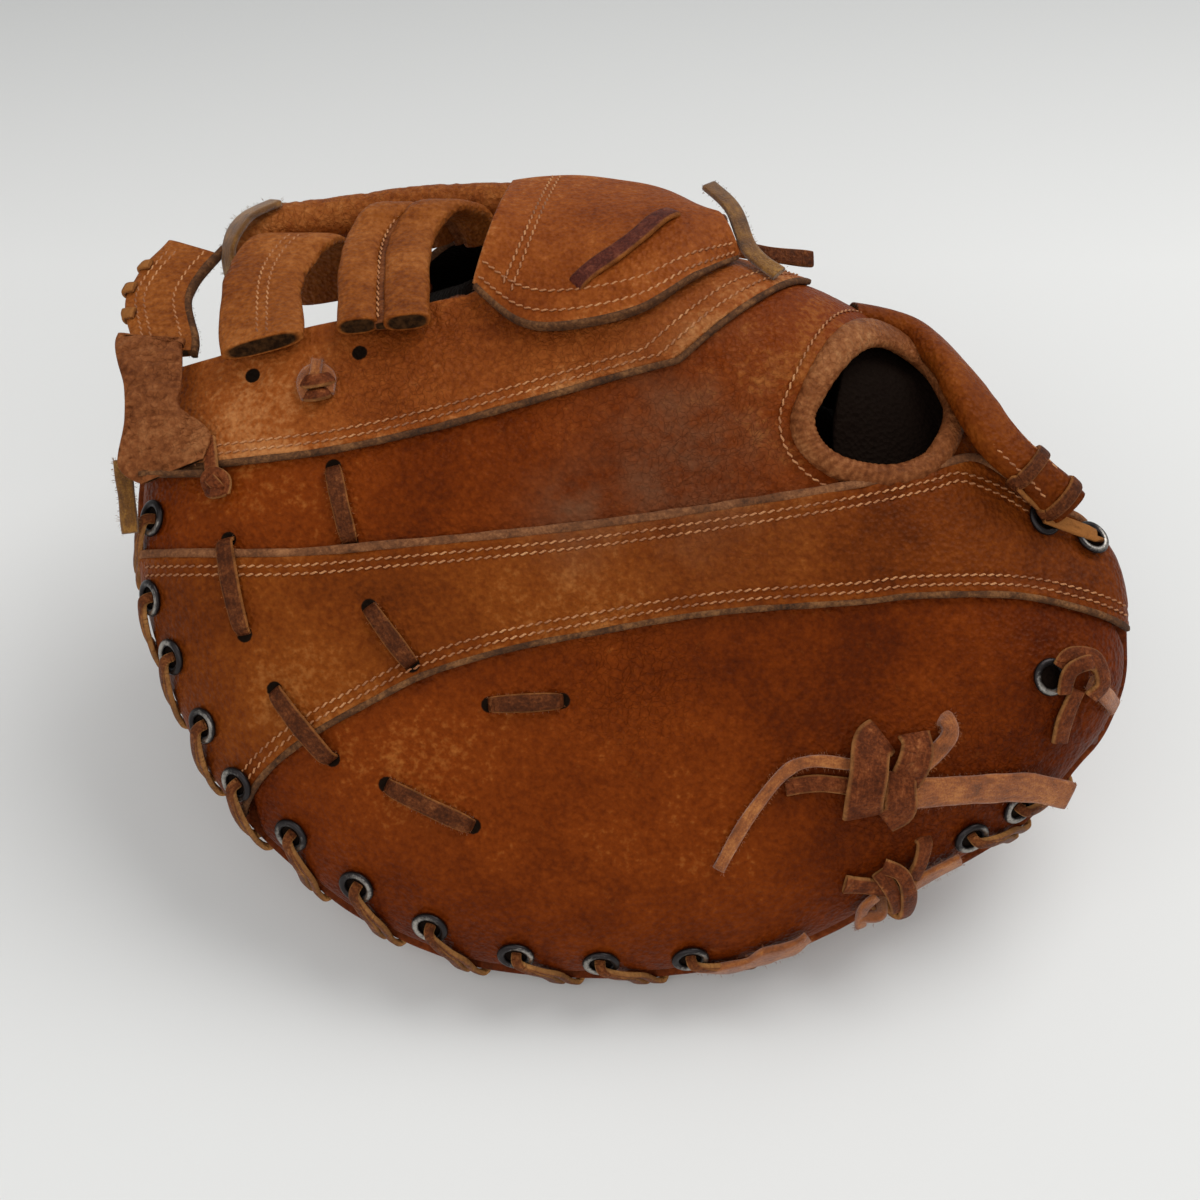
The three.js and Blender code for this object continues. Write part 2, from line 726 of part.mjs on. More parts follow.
const plug = holePlug();
const floor = new THREE.BoxGeometry(3 * mittLength, 3 * mittLength, mittLength);
floor.translate(0, 0, -mittLength / 2);

add('palm', cut(palm(), floor), palmLeather);
const lowerColumns = fineAtBoth(20).map((share) => mix(0.03, 0.975, share));
add('back_lower_panel', panel(inset(lowerPatch, { top: 1 }), lowerColumns, fineAtStart(6), 0), russet);
const middle = panel(inset(middlePatch, { top: 1, bottom: 1 }), fineAtBoth(20), even(2), layerStep);
add('back_middle_strip', cut(middle, plug), tan);
const upper = panel(inset(upperPatch, { top: 1, bottom: 1 }), fineAtBoth(20), even(5), 0);
add('back_upper_panel', cut(upper, plug), tan);
const top = panel(inset(topPatch, { top: 3, bottom: 3 }), fineAtStart(16), even(3), layerStep);
add('back_top_panel', top, tan);
add('thumb_back_panel', panel(inset(thumbPatch, { bottom: 5 }), even(thumbSteps), fineAtEnd(6), gap), russet);
add('hand_hole_binding', holeBinding(), strapLeather);
add('finger_rim_welt', welt(rimLine, 34, 0, 1), weltLeather);
add('thumb_rim_welt', welt(thumbRimLine, thumbSteps, 0, 1), weltLeather);

// Eyelets along the finger rim, then those by the heel.
const rimEyelets = [
  { along: -0.44, up: 0.64 },
  { along: -0.436, up: 0.531 },
  { along: -0.414, up: 0.45 },
  { along: -0.382, up: 0.356 },
  { along: -0.349, up: 0.277 },
  { along: -0.3, up: 0.203 },
  { along: -0.236, up: 0.133 },
  { along: -0.165, up: 0.077 },
  { along: -0.082, up: 0.037 },
  { along: 0.001, up: 0.026 },
  { along: 0.088, up: 0.032 },
  { along: 0.362, up: 0.199 },
  { along: 0.409, up: 0.24 },
];
const eyeletReach = (eyeletRadius + 1) / rimLine.getLength();
const isRaised = (share) => share + eyeletReach > rimUpper && share - eyeletReach < rimLower;
const rimSpots = rimEyelets.map(onSheet).map((place) => {
  const share = shareNear(rimLine, place);
  return { place, over: isRaised(share) ? layerStep : 0 };
});
rimSpots.forEach(({ place, over }, i) =>
  add(`rim_eyelet_${i + 1}`, eyelet(skin(place, over)), gunmetal));
const heelEyelets = [
  { along: 0.434, up: 0.638, over: layerStep + 0.6 },
  { along: 0.485, up: 0.607, over: layerStep + 1.2 },
  { along: 0.432, up: 0.42, over: 0 },
];
heelEyelets.forEach((row, i) => add(`heel_eyelet_${i + 1}`, eyelet(skin(onSheet(row), row.over)), gunmetal));
add('finger_rim_lace', rimLace(rimLine, 34, rimSpots), laceLeather);
const thumbSpots = even(6).map((share) => {
  const at = mix(0.12, 0.9, share);
  const way = thumbRimLine.getTangentAt(at);
  const place = thumbRimLine.getPointAt(at).addScaledVector(new THREE.Vector2(-way.y, way.x), eyeletInset);
  return { place, over: gap };
});
add('thumb_rim_lace', cut(rimLace(thumbRimLine, thumbSteps, thumbSpots), floor), laceLeather);

const surfaceLaces = [
  { from: [-0.257, 0.707], to: [-0.239, 0.601], over: 0 },
  { from: [-0.358, 0.607], to: [-0.339, 0.478], over: layerStep },
  { from: [-0.22, 0.515], to: [-0.179, 0.437], over: layerStep },
  { from: [-0.31, 0.404], to: [-0.256, 0.309], over: layerStep },
  { from: [-0.204, 0.275], to: [-0.121, 0.219], over: 0 },
  { from: [-0.106, 0.383], to: [-0.036, 0.388], over: 0 },
];
surfaceLaces.forEach((row, i) => add(`back_lace_${i + 1}`, surfaceLace(row), laceLeather));

// The padded strap over the wrist, from the ridge to the heel corner.
const strapRows = [
  { along: 0.296, up: 0.86, over: 3.6, wide: 1 },
  { along: 0.312, up: 0.81, over: 4.2, wide: 1 },
  { along: 0.335, up: 0.76, over: 4.4, wide: 1 },
  { along: 0.37, up: 0.716, over: 4.6, wide: 0.95 },
  { along: 0.415, up: 0.683, over: 4.8, wide: 0.85 },
  { along: 0.458, up: 0.67, over: 4.6, wide: 0.75 },
];
const strapStops = strapRows.map((row) => skin(onSheet(row), row.over + gap + strapThickness / 2));
const strap = strapStops.map((spot, i) => {
  const next = strapStops[Math.min(i + 1, strapStops.length - 1)].point;
  const way = next.clone().sub(strapStops[Math.max(i - 1, 0)].point);
  return { point: spot.point, side: way.cross(spot.outward).normalize(), scale: strapRows[i].wide };
});
add('wrist_strap', sweep(strap, roundSection(strapWidth, strapThickness)), strapLeather);

// The web: two bars, the rolled post behind them, the tip piece and the tab at the fingertips.
const acrossX = () => new THREE.Vector3(1, 0, 0);
const barSection = roundSection(barWidth, barThickness, 8);
const bar = (foot, rows) => {
  const { point, outward } = skin(onSheet(foot), layerStep + barThickness / 2 + barLift);
  const flatX = acrossX().addScaledVector(outward, -outward.x);
  const stops = rows.map((row) => ({ point: inSpace(row), side: acrossX() }));
  return sweep([{ point, side: flatX }, ...stops], barSection);
};
const firstBar = [
  { x: -0.343, y: 0.738, z: 0.912 },
  { x: -0.339, y: 0.82, z: 0.903 },
  { x: -0.324, y: 0.876, z: 0.893 },
  { x: -0.31, y: 0.91, z: 0.84 },
  { x: -0.296, y: 0.915, z: 0.72 },
];
const secondBar = [
  { x: -0.219, y: 0.762, z: 0.945 },
  { x: -0.217, y: 0.848, z: 0.935 },
  { x: -0.199, y: 0.905, z: 0.94 },
  { x: -0.168, y: 0.94, z: 0.895 },
  { x: -0.152, y: 0.952, z: 0.825 },
];
add('web_bar_1', bar({ along: -0.324, up: 0.864 }, firstBar), tan);
add('web_bar_2', bar({ along: -0.209, up: 0.889 }, secondBar), tan);
const postRows = [
  { x: -0.377, y: 0.881, z: 0.768 },
  { x: -0.385, y: 0.929, z: 0.82 },
  { x: -0.36, y: 0.967, z: 0.84 },
  { x: -0.296, y: 0.99, z: 0.84 },
  { x: -0.197, y: 1, z: 0.861 },
  { x: -0.098, y: 0.986, z: 0.88 },
  { x: 0, y: 0.943, z: 0.917 },
  { x: 0.083, y: 0.895, z: 0.926, wide: 0.8 },
  { x: 0.126, y: 0.86, z: 0.935, wide: 0.7 },
];
const upright = () => new THREE.Vector3(0, -0.5, 1);
add('web_post', ribbon(postRows, roundSection(2 * postRadius, 2 * postRadius), upright), strapLeather);
const tipRows = [
  { x: -0.442, y: 0.686, z: 0.852 },
  { x: -0.458, y: 0.762, z: 0.86 },
  { x: -0.452, y: 0.82, z: 0.866 },
  { x: -0.434, y: 0.881, z: 0.87 },
];
add('web_tip', ribbon(tipRows, flatSection(tipWidth, softThickness), acrossX), russet);
const tabRows = [
  { along: -0.448, up: 0.88, lift: 11, wide: 0.7 },
  { along: -0.438, up: 0.829, lift: 17, wide: 0.6 },
  { along: -0.434, up: 0.781, lift: 21, wide: 0.58 },
  { along: -0.421, up: 0.731, lift: 22.9, wide: 1 },
  { along: -0.412, up: 0.7, lift: 22.9, wide: 0.7 },
];
const tabStops = tabRows.map((row) => {
  const place = onSheet(row);
  return { point: sheetPoint(place.x, place.y, row.lift), side: acrossX(), scale: row.wide };
});
add('web_tab', sweep(tabStops, flatSection(tabWidth, softThickness)), russet);

// The flap: from its sewn edge on the top panel, up over the post.
const flapFoot = [
  { along: -0.125, up: 0.968 },
  { along: -0.077, up: 0.902 },
  { along: -0.03, up: 0.892 },
  { along: 0.032, up: 0.885 },
  { along: 0.075, up: 0.895 },
  { along: 0.11, up: 0.915 },
];
const flapHead = [
  { x: -0.091, y: 0.929, z: 0.968 },
  { x: -0.057, y: 0.938, z: 0.972 },
  { x: -0.01, y: 0.938, z: 0.972 },
  { x: 0.042, y: 0.924, z: 0.968 },
  { x: 0.08, y: 0.89, z: 0.968 },
  { x: 0.112, y: 0.845, z: 0.962 },
];
const flapBulge = 7;
const flapRows = 5;
const flapGrid = flapFoot.map((foot, i) => {
  const start = skin(onSheet(foot), layerStep + gap + 0.6).point;
  const end = inSpace(flapHead[i]);
  return even(flapRows).map((share) => {
    const point = start.clone().lerp(end, share);
    return point.add(new THREE.Vector3(0, -0.3, 0.95).multiplyScalar(flapBulge * Math.sin(share * Math.PI)));
  });
});

// Lifts a grid of points along its own normals.
const lifted = (grid, amount) =>
  grid.map((line, i) =>
    line.map((point, j) => {
      const across = grid[Math.min(i + 1, grid.length - 1)][j].clone().sub(grid[Math.max(i - 1, 0)][j]);
      const up = line[Math.min(j + 1, line.length - 1)].clone().sub(line[Math.max(j - 1, 0)]);
      return point.clone().addScaledVector(across.cross(up).normalize(), amount);
    }),
  );
add('web_flap', slab(lifted(flapGrid, flapThickness), flapGrid), tan);
const flapTop = lifted(flapGrid, flapThickness + 3 * gap + laceThickness / 2);
const flapLace = [flapTop[2][1], flapTop[3][2], flapTop[4][3]];
const flapLaceStops = flapLace.map((point) => ({ point, side: new THREE.Vector3(0.6, -1, 0.2) }));
add('flap_lace', sweep(flapLaceStops, flatSection(laceWidth, laceThickness)), laceLeather);

// Suede ties round the post, and the free lace ends.
const tieSection = flatSection(fineLaceWidth, laceThickness);
const leftTie = [
  { x: -0.39, y: 0.838, z: 0.813 },
  { x: -0.395, y: 0.871, z: 0.879 },
  { x: -0.382, y: 0.924, z: 0.905 },
  { x: -0.355, y: 0.98, z: 0.894 },
];
const rightTie = [
  { x: 0.113, y: 0.895, z: 1.01 },
  { x: 0.136, y: 0.84, z: 1.005 },
  { x: 0.151, y: 0.76, z: 0.985 },
];
add('web_tie_left', ribbon(leftTie, tieSection, () => new THREE.Vector3(0.8, -0.6, 0.3)), suede);
const tieFoot = skin(onSheet({ along: 0.155, up: 0.885 }), layerStep + 2).point;
const rightStops = [...rightTie.map(inSpace), tieFoot].map((point) => ({ point, side: acrossX() }));
add('web_tie_right', sweep(rightStops, tieSection), suede);
const postTail = [
  { x: 0.13, y: 0.848, z: 0.91 },
  { x: 0.178, y: 0.86, z: 0.88 },
  { x: 0.228, y: 0.88, z: 0.848 },
];
add('web_post_tail', ribbon(postTail, tieSection, () => new THREE.Vector3(0, -0.6, 0.8)), laceLeather);
const tabTail = [
  { along: -0.468, up: 0.72, lift: 17 },
  { along: -0.463, up: 0.67, lift: 16.8 },
  { along: -0.459, up: 0.618, lift: 16.8 },
].map((row) => ({ point: sheetPoint(...onSheet(row).toArray(), row.lift), side: acrossX() }));
add('web_tab_tail', sweep(tabTail, tieSection), suede);

// Knots, each with its ends.
add('web_knot', knotLump({ along: -0.273, up: 0.815, over: layerStep }, [9, 10, 7]), laceLeather);
add('tab_knot', knotLump({ along: -0.366, up: 0.682, over: 0 }, [8, 9, 7]), laceLeather);
const knots = [
  {
    name: 'heel_knot',
    lump: [{ along: 0.265, up: 0.285, over: 0 }, [21, 24, 10]],
    ends: [
      [[0.265, 0.285], [0.225, 0.3], [0.18, 0.271], [0.15, 0.225], [0.128, 0.182]],
      [[0.265, 0.285], [0.31, 0.28], [0.36, 0.275], [0.41, 0.278]],
      [[0.275, 0.29], [0.3, 0.318], [0.318, 0.335]],
    ],
  },
  {
    name: 'heel_knot_low',
    lump: [{ along: 0.275, up: 0.141, over: 0 }, [14, 17, 9]],
    ends: [
      [[0.275, 0.145], [0.25, 0.155], [0.232, 0.157]],
      [[0.275, 0.145], [0.305, 0.165], [0.335, 0.18]],
      [[0.272, 0.145], [0.271, 0.11], [0.271, 0.075]],
    ],
  },
  {
    name: 'heel_knot_side',
    lump: [{ along: 0.459, up: 0.418, over: 0 }, [13, 13, 9]],
    ends: [
      [[0.459, 0.418], [0.445, 0.37], [0.442, 0.329]],
      [[0.459, 0.418], [0.485, 0.4], [0.505, 0.375]],
    ],
  },
];
for (const { name, lump, ends } of knots) {
  const laces = ends.map((places) => {
    const rows = places.map(([along, up]) => ({ along, up, over: 1.5 }));
    return layLace(rows, laceWidth + 1);
  });
  add(name, join(knotLump(...lump), ...laces), laceLeather);
}

const box = new THREE.Box3().setFromObject(mitt);
const centre = box.getCenter(new THREE.Vector3());
mitt.position.set(-centre.x, -centre.y, -box.min.z);

export default mitt;
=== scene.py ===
"""A worn leather first baseman mitt, dressed over the fixed frame of its solids."""

import math
import random

import bpy
import numpy as np
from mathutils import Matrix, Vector, noise


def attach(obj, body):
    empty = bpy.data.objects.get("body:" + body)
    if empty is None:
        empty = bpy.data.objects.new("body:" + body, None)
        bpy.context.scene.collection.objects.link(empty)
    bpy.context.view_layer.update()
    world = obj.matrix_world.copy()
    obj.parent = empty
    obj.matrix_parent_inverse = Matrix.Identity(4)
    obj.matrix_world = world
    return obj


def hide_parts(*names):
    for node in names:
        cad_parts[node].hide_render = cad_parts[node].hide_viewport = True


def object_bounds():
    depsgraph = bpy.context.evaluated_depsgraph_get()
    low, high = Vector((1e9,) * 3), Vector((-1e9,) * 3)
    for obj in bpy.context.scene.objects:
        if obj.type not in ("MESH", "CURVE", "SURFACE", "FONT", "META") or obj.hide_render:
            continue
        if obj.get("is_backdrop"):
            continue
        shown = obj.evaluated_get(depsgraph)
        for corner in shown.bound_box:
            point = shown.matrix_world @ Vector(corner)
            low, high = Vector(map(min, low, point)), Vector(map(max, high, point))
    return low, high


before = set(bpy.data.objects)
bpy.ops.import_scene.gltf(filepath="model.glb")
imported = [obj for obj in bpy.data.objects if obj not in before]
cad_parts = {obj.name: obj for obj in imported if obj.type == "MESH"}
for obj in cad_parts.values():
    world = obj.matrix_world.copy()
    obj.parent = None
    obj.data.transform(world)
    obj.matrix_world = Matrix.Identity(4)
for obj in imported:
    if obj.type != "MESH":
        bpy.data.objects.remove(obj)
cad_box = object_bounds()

bl_info = {
    "name": "First Baseman Mitt",
    "version": (1, 0, 0),
    "blender": (4, 5, 0),
    "location": "3D View > Sidebar > Mitt",
    "description": "Dresses the solids of a first baseman mitt in worn leather",
    "category": "Object",
}

MM = 0.001

# The bent sheet that the whole mitt is drawn on, in millimetres. A place on it is (along, up).
LENGTH = 297.0
DEPTH = 210.0
NEAR_TILT = math.radians(40)
FAR_TILT = math.radians(60)
BEND_RADIUS = 16.0
DOME_HEIGHT = 26.0
ROLL_WIDTH = 45.0
WEB_HEIGHT_SHARE = 0.4
WEB_ROLL_WIDTH = 60.0
LEATHER = 2.4
LAYER_STEP = 2.0
GAP = 0.3
SEAM_GAP = 0.7
WELT_THICKNESS = 3.0
LACE_THICKNESS = 1.8
LACE_WIDTH = 5.2
PALM_TOP = -(WELT_THICKNESS + LACE_THICKNESS + 5 * GAP)
PALM_UNDER = PALM_TOP - 8.0
FLOOR_TRIM = 2.5
TOP_HEIGHT = 155.0
SHEET_CORNER = np.array((-6.522, -126.042, 0.0))  # where the sheet starts in the frame
NEAR_FLOOR = -PALM_UNDER * math.cos(NEAR_TILT) - FLOOR_TRIM
THUMB_FLOOR = -PALM_UNDER * math.cos(FAR_TILT) - FLOOR_TRIM
BEND_TURN = NEAR_TILT + FAR_TILT
BEND_ARC = BEND_RADIUS * BEND_TURN

# Smooth lines on the sheet: shares of LENGTH along and of DEPTH up.
RIM_ROWS = [
    (-0.424, 0.86), (-0.448, 0.79), (-0.461, 0.7), (-0.461, 0.59), (-0.445, 0.486), (-0.424, 0.4),
    (-0.394, 0.305), (-0.354, 0.224), (-0.306, 0.157), (-0.246, 0.09), (-0.172, 0.038),
    (-0.101, 0.01), (0, 0), (0.091, 0.007), (0.172, 0.03), (0.226, 0.06), (0.286, 0.105),
    (0.394, 0.186), (0.444, 0.243), (0.48, 0.3), (0.505, 0.343), (0.525, 0.414), (0.527, 0.486),
    (0.525, 0.543), (0.514, 0.595), (0.488, 0.638),
]
WEB_ROWS = [(-0.424, 0.86), (-0.37, 0.876), (-0.291, 0.91), (-0.167, 0.946), (-0.117, 0.966)]
TOP_SEAM_ROWS = [
    (-0.461, 0.7), (-0.359, 0.711), (-0.26, 0.727), (-0.162, 0.757), (-0.096, 0.783),
    (-0.046, 0.803), (0.033, 0.834), (0.101, 0.858), (0.15, 0.876), (0.188, 0.9),
]
UPPER_SEAM_ROWS = [
    (-0.461, 0.59), (-0.307, 0.586), (-0.21, 0.596), (-0.144, 0.604), (-0.021, 0.622),
    (0.101, 0.646), (0.24, 0.678), (0.31, 0.7), (0.35, 0.715), (0.395, 0.696), (0.437, 0.664),
    (0.488, 0.638),
]
LOWER_SEAM_ROWS = [
    (-0.354, 0.224), (-0.325, 0.285), (-0.278, 0.34), (-0.215, 0.39), (-0.165, 0.425),
    (-0.097, 0.455), (-0.029, 0.475), (0.105, 0.507), (0.246, 0.522), (0.3, 0.53), (0.4, 0.53),
    (0.475, 0.51), (0.527, 0.486),
]
RIDGE_ROWS = [
    (-0.5, 1.03), (-0.2, 1.03), (-0.1, 0.98), (0, 0.885), (0.18, 0.805), (0.286, 0.75),
    (0.337, 0.72), (0.407, 0.69), (0.6, 0.67),
]
WRIST_ROWS = [(0.36, 0.79), (0.41, 0.72), (0.488, 0.638)]
THUMB_RIM_ROWS = [  # along, and the share of the way down to the floor
    (0.43, 0.82), (0.4, 0.93), (0.337, 0.985), (0.27, 1), (0.18, 1), (0.1, 1), (0, 0.985),
    (-0.11, 0.9), (-0.18, 0.72), (-0.215, 0.5), (-0.22, 0.3),
]
CROTCH = (-0.045, 0.95)  # along, and the share of the bend's turn
STRAP_ROOT = (0.285, 0.95)
HOLE_CENTRE = (0.27, 0.766)
HOLE_HALF = (22.4, 15.2)
BINDING_RADIUS = 3.2

STITCH_PITCH = 2.6
STITCH_LENGTH = 2.35
STITCH_WIDTH = 0.7
STITCH_SEED, EYELET_SEED = 1, 7
STITCH_ROWS = (2.7, 5.2)  # in from a raw edge
TURNED_ROWS = (3.4, 5.8)  # in from a turned edge
RAISED_LEATHER = 1.9  # thickness of the strip and of the top panel
CURL = 0.3  # how far their edges lift
HAIR_WIDTH = 0.08
PALM_VOXEL = 2.2

mix = lambda a, b, share: a + (b - a) * share
on_sheet = lambda row: np.array((row[0] * LENGTH, row[1] * DEPTH))


def smooth_step(before, a, b, after, w):
    """From a to b at share w, leaning as their neighbours do."""
    lean_a, lean_b = (b - before) / 2, (after - a) / 2
    cubic = 2 * a - 2 * b + lean_a + lean_b
    square = 3 * b - 3 * a - 2 * lean_a - lean_b
    return ((cubic * w + square) * w + lean_a) * w + a


def flow(values, t):
    """Catmull-Rom through rows of values, at t counted in rows."""
    values = np.asarray(values, float)
    last = len(values) - 1
    t = np.clip(np.asarray(t, float), 0, last)
    i = np.minimum(t.astype(int), last - 1)
    return smooth_step(*(values[np.clip(i + k, 0, last)] for k in (-1, 0, 1, 2)), (t - i)[:, None])


class Line:
    """A smooth line through points, read by its share of length."""

    def __init__(self, points, samples=1200):
        self.points = flow(points, np.linspace(0, len(points) - 1, samples + 1))
        steps = np.linalg.norm(np.diff(self.points, axis=0), axis=1)
        self.reach = np.concatenate(([0], np.cumsum(steps)))
        self.length = self.reach[-1]

    def at(self, share):
        reach = np.clip(share, 0, 1) * self.length
        axes = [np.interp(reach, self.reach, axis) for axis in self.points.T]
        return np.stack(axes, axis=-1)

    def way(self, share):
        share = np.clip(share, 0.002, 0.998)
        step = self.at(share + 0.002) - self.at(share - 0.002)
        return step / np.linalg.norm(step, axis=-1, keepdims=True)

    def inward(self, share):
        way = self.way(share)
        return np.stack((-way[..., 1], way[..., 0]), axis=-1)

    def near(self, place):
        distances = np.linalg.norm(self.points - place, axis=1)
        return self.reach[distances.argmin()] / self.length


ridge_line = Line([on_sheet(row) for row in RIDGE_ROWS])
ridge_at = lambda along: np.interp(along, ridge_line.points[:, 0], ridge_line.points[:, 1])


def base_point(along, up):
    """A point on the sheet's own surface."""
    ridge = ridge_at(along)
    beyond = np.maximum(up - ridge, 0)
    angle = NEAR_TILT - np.minimum(beyond / BEND_RADIUS, BEND_TURN)
    straight = np.maximum(beyond - BEND_ARC, 0)
    flat = np.minimum(up, ridge)
    y = flat * math.cos(NEAR_TILT) + BEND_RADIUS * (math.sin(NEAR_TILT) - np.sin(angle))
    z = flat * math.sin(NEAR_TILT) + BEND_RADIUS * (np.cos(angle) - math.cos(NEAR_TILT))
    y = y + straight * np.cos(angle)
    z = z + straight * np.sin(angle) + NEAR_FLOOR
    return np.stack((along + 0 * up, y, z), axis=-1)


unit = lambda v: v / np.maximum(np.linalg.norm(v, axis=-1, keepdims=True), 1e-9)


def sheet_point(place, height):
    """The same point, lifted along the sheet's normal."""
    along, up = place[..., 0], place[..., 1]
    across = base_point(along + 2, up) - base_point(along - 2, up)
    upward = base_point(along, up + 0.5) - base_point(along, up - 0.5)
    lift = np.asarray(height, float)
    return base_point(along, up) + unit(np.cross(across, upward)) * lift[..., None]


def far_place(row):
    along = row[0] * LENGTH
    ridge = ridge_at(along)
    fall = BEND_RADIUS * (math.cos(FAR_TILT) - math.cos(NEAR_TILT))
    drop = NEAR_FLOOR + ridge * math.sin(NEAR_TILT) + fall - THUMB_FLOOR
    return np.array((along, ridge + BEND_ARC + row[1] * drop / math.sin(FAR_TILT)))


def bend_place(row):
    along = row[0] * LENGTH
    return np.array((along, ridge_at(along) + row[1] * BEND_ARC))


rim_line = Line([on_sheet(row) for row in RIM_ROWS])
thumb_rim_line = Line([far_place(row) for row in THUMB_RIM_ROWS])
crotch_place = bend_place(CROTCH)
strap_place = bend_place(STRAP_ROOT)
web_line = Line([on_sheet(row) for row in WEB_ROWS] + [crotch_place])
wrist_line = Line([on_sheet(row) for row in WRIST_ROWS])
top_seam = Line([on_sheet(row) for row in TOP_SEAM_ROWS])
upper_seam = Line([on_sheet(row) for row in UPPER_SEAM_ROWS])
lower_seam = Line([on_sheet(row) for row in LOWER_SEAM_ROWS])

shares = lambda count: np.linspace(0, 1, count + 1)
rim_samples = [rim_line.at(shares(110)), thumb_rim_line.at(shares(60))]
web_samples = [
    web_line.at(shares(30)),
    wrist_line.at(shares(10)),
    np.array((crotch_place, thumb_rim_line.at(1))),
]


def nearest(places, lines):
    """Distance from places to some sampled lines, and the way in from them."""
    flat = places.reshape(-1, 2)
    best = np.full(len(flat), np.inf)
    inward = np.zeros_like(flat)
    for samples in lines:
        for a, b in zip(samples[:-1], samples[1:]):
            span = b - a
            share = np.clip(((flat - a) @ span) / (span @ span), 0, 1)
            away = flat - (a + share[:, None] * span)
            distance = np.linalg.norm(away, axis=1)
            closer = distance < best
            best[closer] = distance[closer]
            side = unit(np.array((-span[1], span[0])))
            far = distance > 0.05
            inward[closer & ~far] = side
            inward[closer & far] = away[closer & far] / distance[closer & far, None]
    return best.reshape(places.shape[:-1]), inward.reshape(places.shape)


def web_share_at(places):
    distance, _ = nearest(places, web_samples)
    share = np.clip(distance / WEB_ROLL_WIDTH, 0, 1)
    return mix(WEB_HEIGHT_SHARE, 1, np.sin(share * math.pi / 2))


def skin(places, offset=0.0):
    """The back skin at places: points, moved out by offset, and outward normals."""
    places = np.atleast_2d(np.asarray(places, float))
    distance, inward = nearest(places, rim_samples)
    inside = np.minimum(distance / ROLL_WIDTH, 1)
    roll = np.sqrt(1 - (1 - inside) ** 2)
    web = web_share_at(places)
    height = DOME_HEIGHT * roll * web
    step = 0.5
    moved = lambda dx, dy: places + np.array((dx, dy))
    here = sheet_point(places, height)
    across = sheet_point(moved(step, 0), height) - sheet_point(moved(-step, 0), height)
    upward = sheet_point(moved(0, step), height) - sheet_point(moved(0, -step), height)
    across, upward = across / (2 * step), upward / (2 * step)
    normal = sheet_point(places, height + 1) - here
    rim_slope = DOME_HEIGHT * web * (1 - inside) / ROLL_WIDTH
    slope = DOME_HEIGHT * roll * roll / step
    along = rim_slope * inward[..., 0] + slope * (web_share_at(moved(step, 0)) - web)
    up = rim_slope * inward[..., 1] + slope * (web_share_at(moved(0, step)) - web)
    outward = np.cross(across, upward) * roll[..., None]
    outward = outward + np.cross(across, normal) * up[..., None]
    outward = unit(outward + np.cross(normal, upward) * along[..., None])
    return here + outward * np.asarray(offset)[..., None], outward


def coons(lower, upper, left, right):
    """A patch of four lines: lower and upper run along, left and right run up."""
    def patch(u, v):
        u, v = u[..., None], v[..., None]
        ends = (1 - u) * (1 - v) * lower(0.0) + u * (1 - v) * lower(1.0)
        ends = ends + (1 - u) * v * upper(0.0) + u * v * upper(1.0)
        sides = (1 - u) * left(v[..., 0]) + u * right(v[..., 0])
        return (1 - v) * lower(u[..., 0]) + v * upper(u[..., 0]) + sides - ends
    return patch


stretch = lambda line, start, end: lambda share: line.at(mix(start, end, np.asarray(share, float)))


def between(a, b):
    return lambda share: a + (b - a) * np.asarray(share, float)[..., None]


rim_at = lambda row: rim_line.near(on_sheet(row))
rim_top = rim_at(TOP_SEAM_ROWS[0])
rim_upper = rim_at(UPPER_SEAM_ROWS[0])
rim_lower = rim_at(LOWER_SEAM_ROWS[0])
rim_heel = rim_at(LOWER_SEAM_ROWS[-1])

crest_line = Line([bend_place(mix(np.array(CROTCH), np.array(STRAP_ROOT), s)) for s in shares(6)])
crest_at_seam = crest_line.near(bend_place((TOP_SEAM_ROWS[-1][0], 0.95)))
upper_top = Line(np.concatenate((
    top_seam.at(shares(20)),
    crest_line.at(mix(crest_at_seam, 1, shares(3)[1:])),
)))
top_top = Line(np.concatenate((
    [on_sheet(row) for row in WEB_ROWS],
    crest_line.at(mix(0, crest_at_seam, shares(4))),
)))
upper_end = upper_seam.near(on_sheet((STRAP_ROOT[0], 0.72)))


def lower_patch(u, v):
    rim = rim_line.at(mix(rim_lower, rim_heel, u))
    return rim + (lower_seam.at(u) - rim) * v[..., None]


middle_patch = coons(
    stretch(lower_seam, 0, 1), stretch(upper_seam, 0, 1),
    stretch(rim_line, rim_lower, rim_upper), stretch(rim_line, rim_heel, 1),
)
upper_patch = coons(
    stretch(upper_seam, 0, upper_end), stretch(upper_top, 0, 1),
    stretch(rim_line, rim_upper, rim_top), between(upper_seam.at(upper_end), strap_place),
)
top_patch = coons(
    stretch(top_seam, 0, 1), stretch(top_top, 0, 1),
    stretch(rim_line, rim_top, 0), between(top_seam.at(1.0), crest_line.at(crest_at_seam)),
)
thumb_patch = coons(
    stretch(crest_line, 0, 1), stretch(thumb_rim_line, 1, 0),
    between(crest_line.at(0.0), thumb_rim_line.at(1.0)),
    between(crest_line.at(1.0), thumb_rim_line.at(0.0)),
)


def inset(patch, bottom=0.0, top=0.0):
    """Holds a patch back from its neighbours below and above, in half seam gaps."""
    def held(u, v):
        height = np.linalg.norm(patch(u, v * 0 + 1) - patch(u, v * 0), axis=-1)
        edge = np.minimum(SEAM_GAP / 2 / np.maximum(height, 0.1), 0.3)
        return patch(u, mix(bottom * edge, 1 - top * edge, v))
    return held


